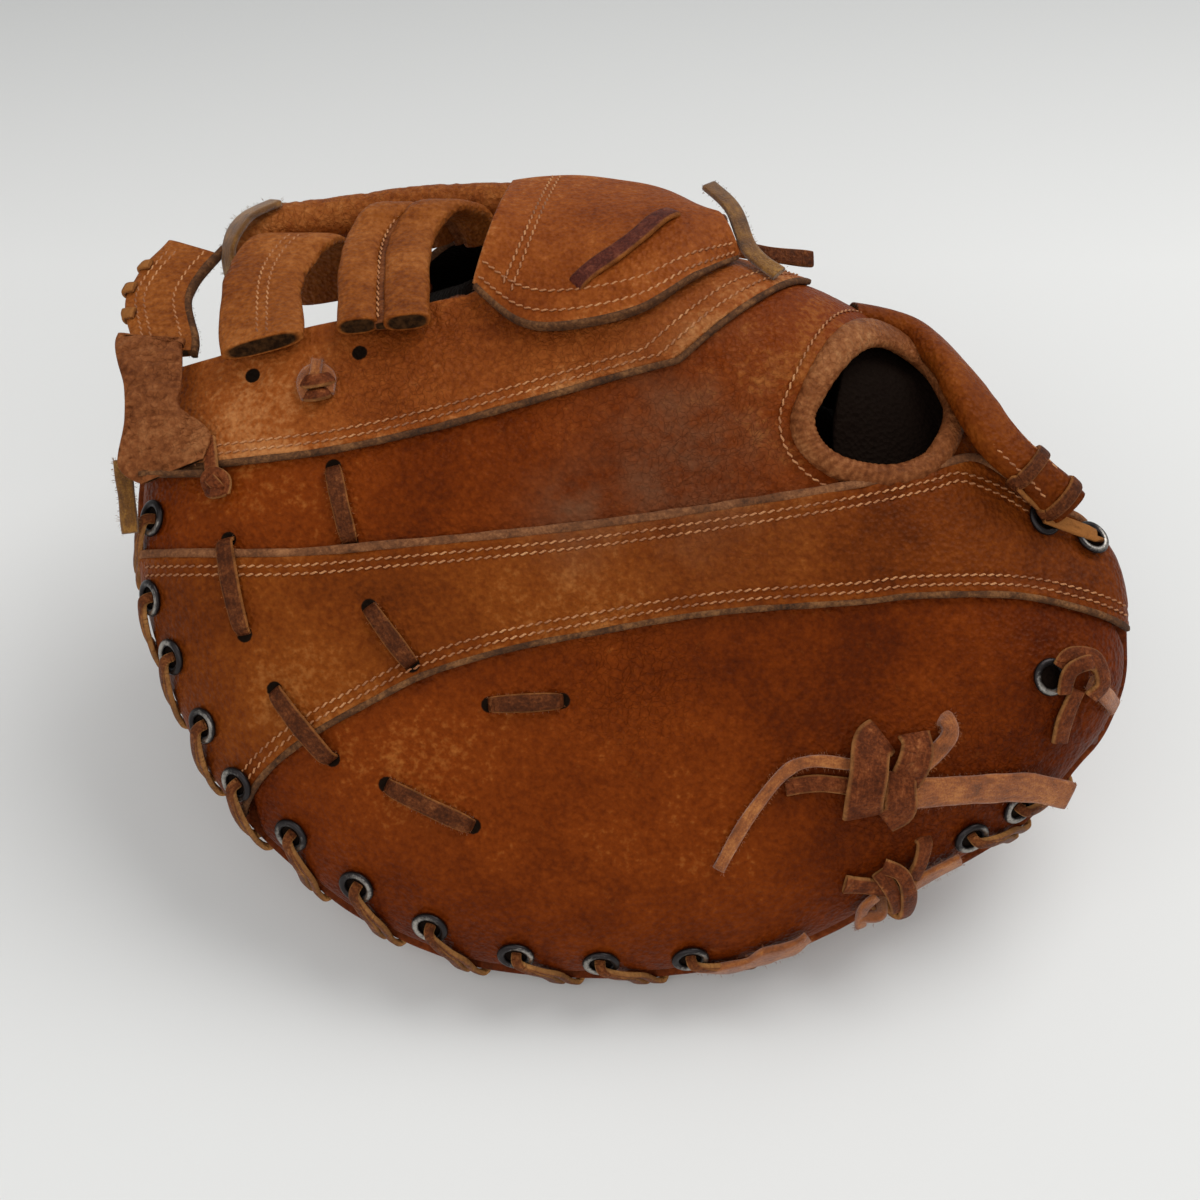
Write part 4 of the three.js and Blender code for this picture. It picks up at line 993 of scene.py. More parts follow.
def panel(name, patch, columns, rows, over, look, span=(0.0, 1.0), stitched=((), ()),
          cut_hole=False, curl=0.0, thick=LEATHER):
    """One piece of the shell. stitched gives its stitch rows' distances from its lower and upper edge."""
    piece, u, v = grid_piece(name, columns, rows)
    u = mix(span[0], span[1], u)
    places = patch(u, v)
    height = np.linalg.norm(patch(u, v * 0 + 1) - patch(u, v * 0), axis=-1)
    width = np.linalg.norm(patch(u * 0 + 1, v) - patch(u * 0, v), axis=-1)
    height = np.maximum(height, 0.5)
    low, high = v * height, (1 - v) * height
    edge = np.minimum(np.minimum(low, high), np.minimum(u, 1 - u) * width)
    offset = over + relief(places) * np.clip(edge / 5, 0.25, 1) - dents(places)
    for distances, row_edge in zip(stitched, (low, high)):
        for distance in distances:
            offset -= 0.3 * np.exp(-(((row_edge - distance) / 0.8) ** 2))
    offset -= 0.7 * np.exp(-edge / 0.8)
    offset += curl * np.exp(-np.minimum(low, high) / 2.5) * (0.5 + ripples(places / 14, 5.5))
    points, _ = skin(places, offset)
    set_points(piece, points)
    set_values(piece, "edge", np.exp(-edge / 1.6))
    # Besides darker patches, pieces that lie under raised ones get painted shade along their edges.
    set_values(piece, "dark", patches_of(places, DARK_PATCHES) + 0.8 * np.exp(-edge / 7) * (over < 1))
    set_values(piece, "light", patches_of(places, LIGHT_WEAR))
    set_values(piece, "grey", patches_of(places, GREY_WEAR))
    # The crease mask also sets how strongly the crease lines are painted as shade.
    fields = [(row[0], row[1], row[2] * 0.9) for row in WRINKLE_FIELDS]
    set_values(piece, "crease", patches_of(places, fields))
    # Punched holes are not cut: each gets a near-black disc of painted shade.
    holes = np.zeros(len(places))
    for row in LACE_HOLES:
        distance = np.linalg.norm(places - on_sheet(row), axis=-1)
        holes = np.maximum(holes, np.clip(1 - distance / (2 * PUNCH), 0, 1))
    set_values(piece, "hole", holes)
    if cut_hole:
        mesh = piece.data
        centre = on_sheet(HOLE_CENTRE)
        inside = np.linalg.norm((places - centre) / (np.array(HOLE_HALF) + 1.5), axis=-1) < 1
        chosen = [all(inside[i] for i in face.vertices) for face in mesh.polygons]
        delete_faces(piece, chosen)
    # The inner side takes the near-black lining, painted shade for the inside of the shell.
    for used in (look, "raw", "shade_lining"):
        piece.data.materials.append(looks[used])
    apply_modifier(piece, "SOLIDIFY", thickness=thick * MM, offset=-1.0, material_offset_rim=1,
                   material_offset=2, use_even_offset=False)
    return piece


class MITT_OT_shell(bpy.types.Operator):
    """Makes the five pieces of the back."""

    bl_idname = "mitt.shell"
    bl_label = "Shell"

    def execute(self, context):
        rows = [
            ("lower_shell", lower_patch, "back_lower_panel", "russet_leather", 240, 78, 0.0, "back",
             dict(span=(0.03, 0.975), insets=(0, -6))),
            ("strip_shell", middle_patch, "back_middle_strip", "russet_leather", 280, 44, LAYER_STEP, "strip",
             dict(insets=(0, 0), stitched=(STITCH_ROWS, TURNED_ROWS), curl=CURL, thick=RAISED_LEATHER)),
            ("upper_shell", upper_patch, "back_upper_panel", "russet_leather", 230, 66, 0.0, "back",
             dict(insets=(-6, -5), cut_hole=True)),
            ("top_shell", top_patch, "back_top_panel", "tan_leather", 200, 50, LAYER_STEP, "top",
             dict(insets=(1, 1), stitched=(STITCH_ROWS, ()), curl=CURL, thick=RAISED_LEATHER)),
            ("thumb_shell", thumb_patch, "thumb_back_panel", "russet_leather", 150, 84, GAP, "back",
             dict(insets=(5, 0), stitched=(STITCH_ROWS, ()), cut_hole=True)),
        ]
        for name, patch, node, slot, columns, lines, over, look, settings in rows:
            bottom, top = settings.pop("insets")
            piece = panel(name, inset(patch, bottom, top), columns, lines, over, look, **settings)
            finish_piece(piece, [], [node])
        return {"FINISHED"}


def seam_row(line, distance, over, start=0.0, end=1.0):
    share = np.linspace(start, end, max(int(line.length * (end - start) / 2), 8))
    places = line.at(share) + line.inward(share) * distance
    return skin(places, over + relief(places) * 0.9 + 0.02)


class MITT_OT_stitching(bpy.types.Operator):
    """Makes the rows of thread on the shell."""

    bl_idname = "mitt.stitching"
    bl_label = "Stitching"

    def execute(self, context):
        rows = [seam_row(top_seam, distance, LAYER_STEP, 0.01, 0.99) for distance in STITCH_ROWS]
        rows += [seam_row(lower_seam, distance, LAYER_STEP, 0.02, 0.985) for distance in STITCH_ROWS]
        rows += [seam_row(upper_seam, -distance, LAYER_STEP, 0.02, 0.97) for distance in TURNED_ROWS]
        rows += [skin(hole_line(HOLE_SEAM)[HOLE_SEWN], 0.25)]
        crest = Line(crest_line.points[::40])
        rows += [seam_row(crest, distance, GAP, 0.02, 0.98) for distance in TURNED_ROWS]
        sew("shell_stitching", rows)
        return {"FINISHED"}


class MITT_OT_raw_edges(bpy.types.Operator):
    """Makes the cut edges of the raised pieces, where the hide shows its thickness."""

    bl_idname = "mitt.raw_edges"
    bl_label = "Raw edges"

    def execute(self, context):
        dark, pale = [], []
        for name, line, shift, over, width, kept in (
            ("top_edge", top_seam, -0.1, 1.15, 2.0, dark),
            ("strip_low_edge", lower_seam, -0.1, 1.15, 2.0, dark),
            ("strip_high_edge", upper_seam, 0.3, 1.35, 2.6, pale),
        ):
            share = np.linspace(0.004, 0.996, 120)
            places = line.at(share) + line.inward(share) * shift
            points, outward = skin(places, over + 0.5 * relief(places))
            kept.append(strip(name, points, sides_of(points, outward), width, 1.9, box=0.7,
                              uneven=0.16, ring=10))
        flap_run = np.linspace(0.02, 0.98, 30)
        points, outward = flap_point(flap_run, 0 * flap_run, FLAP_THICKNESS - 1.7)
        dark.append(strip("flap_edge", points, sides_of(points, outward), 1.8, 3.3, box=0.6, uneven=0.12))
        points = spaced(TIP_ROWS)
        row, _ = on_stops(points, np.array([LEVEL] * len(points)), 9.4, 0.0, count=12)
        dark.append(strip("tip_edge", row, LEVEL, 2.2, 3.4, box=0.7, uneven=0.3))
        points = on_sheet_rows([row[:3] for row in TAB_ROWS])
        across = np.linspace(-9.5, 9.5, 10)[:, None]
        row = points[-1] + across * np.array(LEVEL) + np.array((0, -0.4, -0.4))
        dark.append(strip("tab_edge", row, (0, 1.0, 0.8), 2.2, 3.2, box=0.7, uneven=0.3))
        hairs = fuzz("edge_fibres", dark, 420, 0.7, 3, False)
        finish_piece(joined("dark_raw_edges", dark + [hairs]), ["raw"])
        finish_piece(joined("pale_raw_edges", pale), ["pale_raw"])
        return {"FINISHED"}


class MITT_OT_hole_binding(bpy.types.Operator):
    """Makes the gathered roll round the hand hole."""

    bl_idname = "mitt.hole_binding"
    bl_label = "Hole binding"

    def execute(self, context):
        bpy.ops.object.select_all(action="DESELECT")
        bpy.ops.mesh.primitive_torus_add(
            major_segments=220, minor_segments=16, major_radius=10, minor_radius=1)
        piece = bpy.context.active_object
        piece.name = piece.data.name = "gathered_binding"
        flat = np.array([v.co for v in piece.data.vertices])
        turn = np.arctan2(flat[:, 1], flat[:, 0])
        across = np.hypot(flat[:, 0], flat[:, 1]) - 10
        up = flat[:, 2]
        around = np.arctan2(up, across)
        folds = 0.5 + 0.5 * np.sin(turn * 57 + 3.2 * np.sin(turn * 7) + 1.6 * np.cos(around))
        folds *= 0.55 + 0.45 * np.cos(turn - 3.7)
        reach = BINDING_RADIUS * (0.95 + 0.06 * folds + 0.03 * np.sin(turn * 6))
        grow = np.hypot(across, up) * reach
        centre = on_sheet(HOLE_CENTRE)
        places = np.stack((
            centre[0] + (HOLE_HALF[0] + grow * np.cos(around) * 1.15) * np.cos(turn),
            centre[1] + (HOLE_HALF[1] + grow * np.cos(around) * 1.15) * np.sin(turn),
        ), axis=-1)
        points, _ = skin(places, grow * np.sin(around) * 0.95)
        set_points(piece, points)
        # The gathers are lighter on their crowns and darker in the hollows between them, which is painted
        # shade; the crease mask adds painted shade in crease lines.
        set_values(piece, "edge", folds * 0.3)
        set_values(piece, "dark", 0.5 - folds * 0.5)
        set_values(piece, "crease", np.full(len(flat), 0.3))
        alone(piece)
        bpy.ops.object.mode_set(mode="EDIT")
        bpy.ops.mesh.select_all(action="SELECT")
        bpy.ops.mesh.normals_make_consistent(inside=False)
        bpy.ops.object.mode_set(mode="OBJECT")
        finish_piece(piece, ["tab"], ["hand_hole_binding"])
        return {"FINISHED"}


class MITT_OT_palm(bpy.types.Operator):
    """Makes the padded palm under the shell: worn outside, and painted near-black as shade on its faces
    turned up inside the hand hole.
    """

    bl_idname = "mitt.palm"
    bl_label = "Palm"

    def execute(self, context):
        piece = made("padded_palm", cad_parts["palm"].data.copy())
        piece.data.materials.clear()
        merge_doubles(piece, 1e-5)
        apply_modifier(piece, "REMESH", mode="VOXEL", voxel_size=PALM_VOXEL * MM, use_smooth_shade=True)
        apply_modifier(piece, "SMOOTH", factor=0.5, iterations=12)
        places = np.array([v.co for v in piece.data.vertices])
        places[:, 2] = np.maximum(places[:, 2], 0.0)
        set_points(piece, places / MM - SHEET_CORNER)
        # Faces turned upward, under the shell, are painted near-black as the shade of the hand hole.
        rise = np.array([v.normal.z for v in piece.data.vertices])
        set_values(piece, "hole", np.clip(0.5 + 0.9 * (rise - 0.3), 0, 1))
        finish_piece(piece, ["palm"], ["palm"])
        return {"FINISHED"}


def rim_strip(name, line, low, high, level, thick, samples):
    """A strip all along a rim: from low outside it to high inside it."""
    share = np.linspace(0, 1, samples)
    inner = line.at(share) + line.inward(share) * high
    outer = line.at(share) - line.inward(share) * low
    a, b = sheet_point(inner, level), sheet_point(outer, level)
    return strip(name, (a + b) / 2, b - a, low + high, thick, step=1.6, box=0.5, uneven=0.02)


class MITT_OT_welts(bpy.types.Operator):
    """Makes the red welt between shell and palm."""

    bl_idname = "mitt.welts"
    bl_label = "Welts"

    def execute(self, context):
        level = -GAP - WELT_THICKNESS / 2 - 0.3
        for name, line, node, samples in (
            ("finger_welt", rim_line, "finger_rim_welt", 120),
            ("thumb_welt", thumb_rim_line, "thumb_rim_welt", 15),
        ):
            piece = rim_strip(name, line, 2.3, 7.5, level, WELT_THICKNESS + 0.4, samples)
            finish_piece(piece, ["welt"], [node])
        return {"FINISHED"}


def eyelet_template():
    """One eyelet at the origin, in millimetres: a rolled ring, and a near-black disc in its bore that paints
    the shade inside it.
    """
    bpy.ops.object.select_all(action="DESELECT")
    bpy.ops.mesh.primitive_torus_add(
        major_segments=28, minor_segments=12, major_radius=4.35, minor_radius=1.15)
    ring = bpy.context.active_object
    for vertex in ring.data.vertices:
        vertex.co.z = vertex.co.z * 0.8 + 0.2
    # A near-black disc inside the ring: painted shade for the depth of the bore.
    bpy.ops.mesh.primitive_circle_add(vertices=28, radius=3.6, fill_type="TRIFAN", location=(0, 0, -0.05))
    bore = bpy.context.active_object
    bpy.ops.object.transform_apply(location=True)
    for part in (ring, bore):
        for name in ("metal", "shade_lining"):
            part.data.materials.append(looks[name])
    bore.data.polygons.foreach_set("material_index", [1] * len(bore.data.polygons))
    return joined("eyelet_template", [ring, bore])


def set_eyelet(template, name, place, over, chance):
    """A copy of the eyelet, seated at a place on the back."""
    piece = made(name, template.data.copy())
    point, outward = skin(place[None], over)
    flat = np.array([v.co for v in piece.data.vertices])
    turn = chance.uniform(0, 2 * math.pi)
    around = np.arctan2(flat[:, 1], flat[:, 0])
    wear = np.clip(flat[:, 2] - 0.35, 0, 1) * (1 + 0.6 * np.cos(around + turn))
    spin = Vector((0, 0, 1)).rotation_difference(Vector(outward[0])).to_matrix()
    set_points(piece, flat @ np.array(spin).T + point[0] + outward[0] * (GAP + 0.1))
    set_values(piece, "wear", wear)
    return piece


def over_rim(place):
    share = rim_line.near(place)
    reach = 6.5 / rim_line.length
    return LAYER_STEP if share + reach > rim_upper and share - reach < rim_lower else 0.0


class MITT_OT_eyelets(bpy.types.Operator):
    """Makes the blackened eyelets of the rim and the heel."""

    bl_idname = "mitt.eyelets"
    bl_label = "Eyelets"

    def execute(self, context):
        template = eyelet_template()
        chance = random.Random(EYELET_SEED)
        spots = [(f"rim_eyelet_{i}", row, over_rim(on_sheet(row))) for i, row in enumerate(RIM_EYELETS, 1)]
        spots += [(f"heel_eyelet_{i}", row, row[2]) for i, row in enumerate(HEEL_EYELETS, 1)]
        for node, row, over in spots:
            piece = set_eyelet(template, node.replace("eyelet", "ring"), on_sheet(row), over, chance)
            finish_piece(piece, [], [node])
        bpy.data.objects.remove(template)
        return {"FINISHED"}


TAIL_ROWS = [
    (0.1, 0.012, 1.0), (0.12, 0.022, 2.2), (0.145, 0.034, 2.8), (0.165, 0.046, 2.6), (0.185, 0.058, 3.4),
    (0.2, 0.07, 2.6),
]
LACE_LEVEL = -(WELT_THICKNESS + 2 * GAP + LACE_THICKNESS / 2)
LACE_REACH = 1.9 + GAP + LACE_THICKNESS / 2
ON_PANEL = GAP + LACE_THICKNESS / 2


def rim_loop(name, line, place, over, slant, shift, width, lift):
    """A lace from its eyelet over the rim and back under the shell."""
    share = line.near(place)
    inset_reach = np.linalg.norm(line.at(share) - place)
    slid = lambda part: np.clip(share + (part * slant + shift) / line.length, 0, 1)

    def off_rim(part, reach, level):
        at = slid(part)
        return sheet_point(line.at(at) - line.inward(at) * reach, level)

    def on_skin(part, depth, height):
        at = slid(part)
        spot = line.at(at) + line.inward(at) * inset_reach * depth
        return skin(spot[None], over + height)[0][0]

    points = [
        off_rim(1, -LACE_WIDTH / 2, LACE_LEVEL),
        off_rim(0.95, LACE_REACH, LACE_LEVEL),
        off_rim(0.8, LACE_REACH + 0.3 * over, -1),
        on_skin(0.6, 0.25, ON_PANEL + 0.5 + lift),
        on_skin(0.3, 0.6, ON_PANEL + 1.4 + lift),
        on_skin(0.0, 0.92, ON_PANEL + 1.3),
        on_skin(-0.05, 1.1, -0.3),
    ]
    way = sheet_point(line.at(share + 0.01), 0) - sheet_point(line.at(share), 0)
    return strip(name, points, way, width, LACE_THICKNESS, box=0.6, uneven=0.12, step=0.7)


class MITT_OT_rim_laces(bpy.types.Operator):
    """Makes the lacing of the finger rim and the thumb rim."""

    bl_idname = "mitt.rim_laces"
    bl_label = "Rim laces"

    def execute(self, context):
        at = np.linspace(0.12, 0.9, 7)
        thumb_places = thumb_rim_line.at(at) + thumb_rim_line.inward(at) * 6
        finger_places = [on_sheet(row) for row in RIM_EYELETS]
        for name, line, places, samples, loops in (  # each loop: name, slant, shift, width and lift
            ("finger", rim_line, finger_places, 90,
             (("loop", 14, 0.6, 3.0, 0.1), ("twin", 19, 1.2, 2.2, -0.4))),
            ("thumb", thumb_rim_line, thumb_places, 40, (("loop", 9, 0.6, 4.2, 0.1),)),
        ):
            pieces = [rim_strip(f"{name}_strand", line, -1, LACE_WIDTH, LACE_LEVEL, LACE_THICKNESS, samples)]
            for i, place in enumerate(places):
                over = over_rim(place) if name == "finger" else GAP
                for part, *settings in loops:
                    pieces.append(rim_loop(f"{name}_{part}_{i}", line, place, over, *settings))
            piece = joined(f"{name}_rim_lacing", pieces)
            finish_piece(piece, ["rim_lace"], [f"{name}_rim_lace"])
        tail = laid("rim_lace_tail", TAIL_ROWS, 6.4, 2.4, uneven=0.5, scales=[0.8, 1.1, 0.85, 1.1, 0.9, 0.7])
        hairs = fuzz("rim_tail_fuzz", [tail], 260, 1.2, 31, False)
        finish_piece(joined("rim_lace_tail", [tail, hairs]), ["orange_suede"])
        return {"FINISHED"}


def laid(name, rows, width, thickness=LACE_THICKNESS, **settings):
    """A strip on the back, through (along share, up share, height in mm)."""
    rows = [(along * LENGTH, up * DEPTH, height) for along, up, height in rows]
    points, sides = over_back(rows)
    return strip(name, points, sides, width, thickness, **settings)


class MITT_OT_surface_laces(bpy.types.Operator):
    """Makes the short laces that cross the seams of the back."""

    bl_idname = "mitt.surface_laces"
    bl_label = "Surface laces"

    def execute(self, context):
        heights = ((0, -3.0), (0.03, -0.4), (0.1, 0.9), (0.3, 1.7), (0.5, 2.0), (0.7, 1.7), (0.9, 0.9),
                   (0.97, -0.4), (1, -3.0))
        for i, (start, stop, over) in enumerate(SURFACE_LACES):
            start, stop = np.array(start), np.array(stop)
            rows = [(*mix(start, stop, share), over + height) for share, height in heights]
            scales = [0.7, 0.8, 0.95, 1, 1.02, 1, 0.95, 0.8, 0.7]
            lace = laid(f"crossing_lace_{i + 1}", rows, LACE_WIDTH, scales=scales, uneven=0.1)
            hairs = fuzz("crossing_fuzz", [lace], 300 if i == 4 else 110, 0.8, 5 + i)
            lace.data.materials.append(looks["lace"])
            hairs.data.materials.append(looks["orange_suede"])
            piece = joined(lace.name, [lace, hairs])
            finish_piece(piece, [], [f"back_lace_{i + 1}"])
        return {"FINISHED"}


STRAP_ROWS = [  # along, up, height over the skin, width
    (0.236, 0.878, -6.5, 0.75), (0.268, 0.866, -3.0, 0.95), (0.298, 0.845, -0.6, 1.0),
    (0.324, 0.796, 1.2, 1.0), (0.348, 0.752, 2.4, 1.0), (0.376, 0.716, 3.6, 0.94),
    (0.415, 0.686, 4.4, 0.87), (0.458, 0.67, 4.6, 0.78),
]


def strap_stops():
    rows = np.array(STRAP_ROWS)
    points, outward = skin(rows[:, :2] * (LENGTH, DEPTH), rows[:, 2] + GAP + 4.5)
    return points, sides_of(points, outward), outward, rows[:, 3]


class MITT_OT_wrist_strap(bpy.types.Operator):
    """Makes the padded strap over the wrist, with its seams and its two lace loops."""

    bl_idname = "mitt.wrist_strap"
    bl_label = "Wrist strap"

    def execute(self, context):
        points, sides, outward, scales = strap_stops()
        crowned = lambda x: 0.72 + 0.28 * np.sqrt(np.clip(1 - x * x, 0, 1))
        piece = strip("padded_strap", points, sides, 15.5, 9.2, scales=scales, box=0.7, uneven=0.08,
                      ring=26, step=0.9, profile=crowned)
        apply_modifier(piece, "SMOOTH", factor=0.3, iterations=2)
        finish_piece(piece, ["strip"], ["wrist_strap"])
        # The second sheet is near-black, painted shade that fills the gap between the binding and the strap.
        for name, start, stop, depth, rise, look in (
            ("wrist_gusset", 0.342, 0.45, -1.2, 3.5, "strip"),
            ("wrist_shade_sheet", 0.235, 0.42, -8.5, 9.5, "shade_lining"),
        ):
            sheet, u, v = grid_piece(name, 60, 24)
            along = mix(start, stop, u) * LENGTH
            low = np.interp(along, upper_seam.points[:, 0], upper_seam.points[:, 1]) - 4
            rows = np.array(STRAP_ROWS)
            high = np.interp(along, rows[:, 0] * LENGTH, rows[:, 1] * DEPTH) + 5
            places = np.stack((along, mix(low, high, v)), axis=-1)
            set_points(sheet, skin(places, depth + rise * v ** 3)[0])
            apply_modifier(sheet, "SOLIDIFY", thickness=1.6 * MM, offset=-1.0)
            finish_piece(sheet, [look])
        rows = []
        for across in (-5.6, 5.6):
            line = Line(points + sides * across * scales[:, None] + outward * 3.0)
            normal = unit(outward + sides * math.copysign(0.55, across))
            share = np.linspace(0.3, 0.9, 40)
            at = np.linspace(0.3, 0.9, 40) * (len(points) - 1)
            rows.append((line.at(share), flow(normal, at)))
        sew("strap_stitching", rows)
        loops = []
        for i, share in enumerate((5.75, 6.62)):
            centre = flow(points, [share])[0]
            side, up = flow(sides, [share])[0], flow(outward, [share])[0]
            way = unit(flow(points, [share + 0.1])[0] - flow(points, [share - 0.1])[0])
            wide = 7.3 * flow(scales[:, None], [share])[0][0]
            row = HEEL_EYELETS[i]
            spot, away = skin(on_sheet(row)[None], row[2])
            ring = [spot[0] - away[0] * 1.0, spot[0] + away[0] * 1.6]
            for turn in np.linspace(-0.1, math.pi + 0.3, 8):
                ring.append(centre + side * math.cos(turn) * (wide + 1.1) + up * math.sin(turn) * 5.0)
            loops.append(strip(f"strap_loop_{i}", ring, way, 4.4, 1.7, box=0.6, uneven=0.1))
        finish_piece(joined("strap_lace_loops", loops), ["lace"])
        return {"FINISHED"}


FIRST_BAR = [(-0.343, 0.738, 0.912), (-0.339, 0.82, 0.903), (-0.324, 0.876, 0.893), (-0.31, 0.91, 0.84),
             (-0.296, 0.915, 0.72)]
SECOND_BAR = [(-0.219, 0.762, 0.945), (-0.217, 0.848, 0.935), (-0.199, 0.905, 0.94), (-0.168, 0.94, 0.895),
              (-0.152, 0.952, 0.825)]
BAR_WIDTH, BAR_THICKNESS, BAR_LIFT = 25.0, 5.0, 3.4


def bar_stops(foot, rows):
    place = on_sheet(foot)
    point, outward = skin(place[None], LAYER_STEP + BAR_THICKNESS / 2 + BAR_LIFT)
    flat = np.array(LEVEL) - outward[0] * outward[0][0]
    return np.concatenate((point, spaced(rows))), unit(np.array([flat] + [LEVEL] * len(rows)))


def on_stops(points, sides, shift, height, count=40, start=0.0, end=1.0):
    """A row beside a strip's centre line: shifted along its sides and lifted."""
    t = np.linspace(start, end, count) * (len(points) - 1)
    centre, side = flow(points, t), flow(sides, t)
    forward = unit(flow(points, t + 0.05) - flow(points, t - 0.05))
    lift = unit(np.cross(side, forward))
    return centre + side * shift + lift * height, lift


class MITT_OT_web_bars(bpy.types.Operator):
    """Makes the two upright bars of the web, with their seams."""

    bl_idname = "mitt.web_bars"
    bl_label = "Web bars"

    def execute(self, context):
        crown = lambda x: 0.75 + 0.25 * np.sqrt(np.clip(1 - x * x, 0, 1))
        soft = lambda x: crown(x) - 0.16 * np.exp(-((x / 0.12) ** 2))
        points, sides = bar_stops((-0.324, 0.864), FIRST_BAR)
        first = strip("first_web_bar", points, sides, BAR_WIDTH, BAR_THICKNESS + 0.8, box=0.6, ring=34,
                      step=1.0, uneven=0.07, profile=soft, scales=[1, 0.98, 1, 1, 1, 1])
        finish_piece(first, ["bar"], ["web_bar_1"])
        rows = [on_stops(points, sides, shift, 2.75, start=0.03, end=0.6) for shift in (-0.6, 2.4)]
        points, sides = bar_stops((-0.209, 0.889), SECOND_BAR)
        lobes = []
        for name, shift, width, lean in (("left", -7.4, 12.0, 0.0), ("right", 7.2, 13.5, 1.6)):
            row, _ = on_stops(points, sides, shift, lean * 0.5, count=12)
            way = flow(sides, np.linspace(0, len(points) - 1, 12))
            lobes.append(strip(f"{name}_lobe", row, way, width, BAR_THICKNESS + 0.6, box=0.75,
                               ring=22, uneven=0.09))
        finish_piece(joined("second_web_bar", lobes), ["bar"], ["web_bar_2"])
        row, _ = on_stops(points, sides, 0.2, -0.2, count=12)
        way = flow(sides, np.linspace(0, len(points) - 1, 12))
        middle = strip("bar_raw_strip", row, way, 5.5, 2.6, box=0.4, uneven=0.1)
        finish_piece(middle, ["tab"])
        rows += [on_stops(points, sides, shift, 1.5, start=0.02, end=0.62) for shift in (-1.3, 1.5)]
        sew("bar_stitching", rows)
        return {"FINISHED"}


POST_ROWS = [
    (-0.377, 0.881, 0.768, 1), (-0.385, 0.929, 0.82, 1), (-0.36, 0.967, 0.84, 1), (-0.296, 0.99, 0.84, 1),
    (-0.197, 1, 0.861, 1), (-0.098, 0.986, 0.88, 1), (0, 0.943, 0.917, 1), (0.083, 0.895, 0.926, 0.8),
    (0.126, 0.86, 0.935, 0.7),
]


class MITT_OT_web_post(bpy.types.Operator):
    """Makes the rolled post behind the bars, wrinkled across its length."""

    bl_idname = "mitt.web_post"
    bl_label = "Web post"

    def execute(self, context):
        points = spaced(POST_ROWS)
        scales = np.array([row[3] for row in POST_ROWS])
        t = np.linspace(0, len(points) - 1, 260)
        creases = np.array([noise.noise(Vector((k * 0.21, 4.2, 0))) for k in range(260)])
        creases += 0.5 * np.array([noise.noise(Vector((k * 0.6, 9.2, 0))) for k in range(260)])
        drawn_in = 0.98 + 0.035 * creases - 0.12 * np.clip(creases, -1, 0) ** 2
        piece = strip("rolled_post", flow(points, t), (0, -0.5, 1.0), 15.0, 15.0,
                      scales=flow(scales[:, None], t)[:, 0] * drawn_in, box=0.95, ring=28,
                      step=0.8, uneven=0.05)
        # The crease lines across the post are painted darker as shade.
        set_values(piece, "crease", np.full(len(piece.data.vertices), 0.5))
        finish_piece(piece, ["roll"], ["web_post"])
        return {"FINISHED"}


TIP_ROWS = [
    (-0.44, 0.655, 0.846), (-0.442, 0.686, 0.852), (-0.458, 0.762, 0.86), (-0.452, 0.82, 0.866),
    (-0.434, 0.881, 0.87),
]
TAB_ROWS = [  # along, up, height and width
    (-0.448, 0.896, 9, 0.74), (-0.448, 0.88, 11, 0.7), (-0.438, 0.829, 17, 0.6),
    (-0.434, 0.781, 21, 0.58), (-0.421, 0.731, 22.9, 1), (-0.412, 0.7, 22.9, 0.7),
]
WRAP_ROWS = [  # a lace round the tip's edge: across, over and along it, in millimetres
    (-2.5, 2.2, 1.2), (-5.0, 2.7, 0.7), (-8.0, 2.7, 0), (-10.4, 1.2, -0.4), (-10.2, -1.6, -0.8),
    (-7.0, -2.5, -1),
]


def on_sheet_rows(rows):
    rows = np.array(rows)
    return sheet_point(rows[:, :2] * (LENGTH, DEPTH), rows[:, 2])


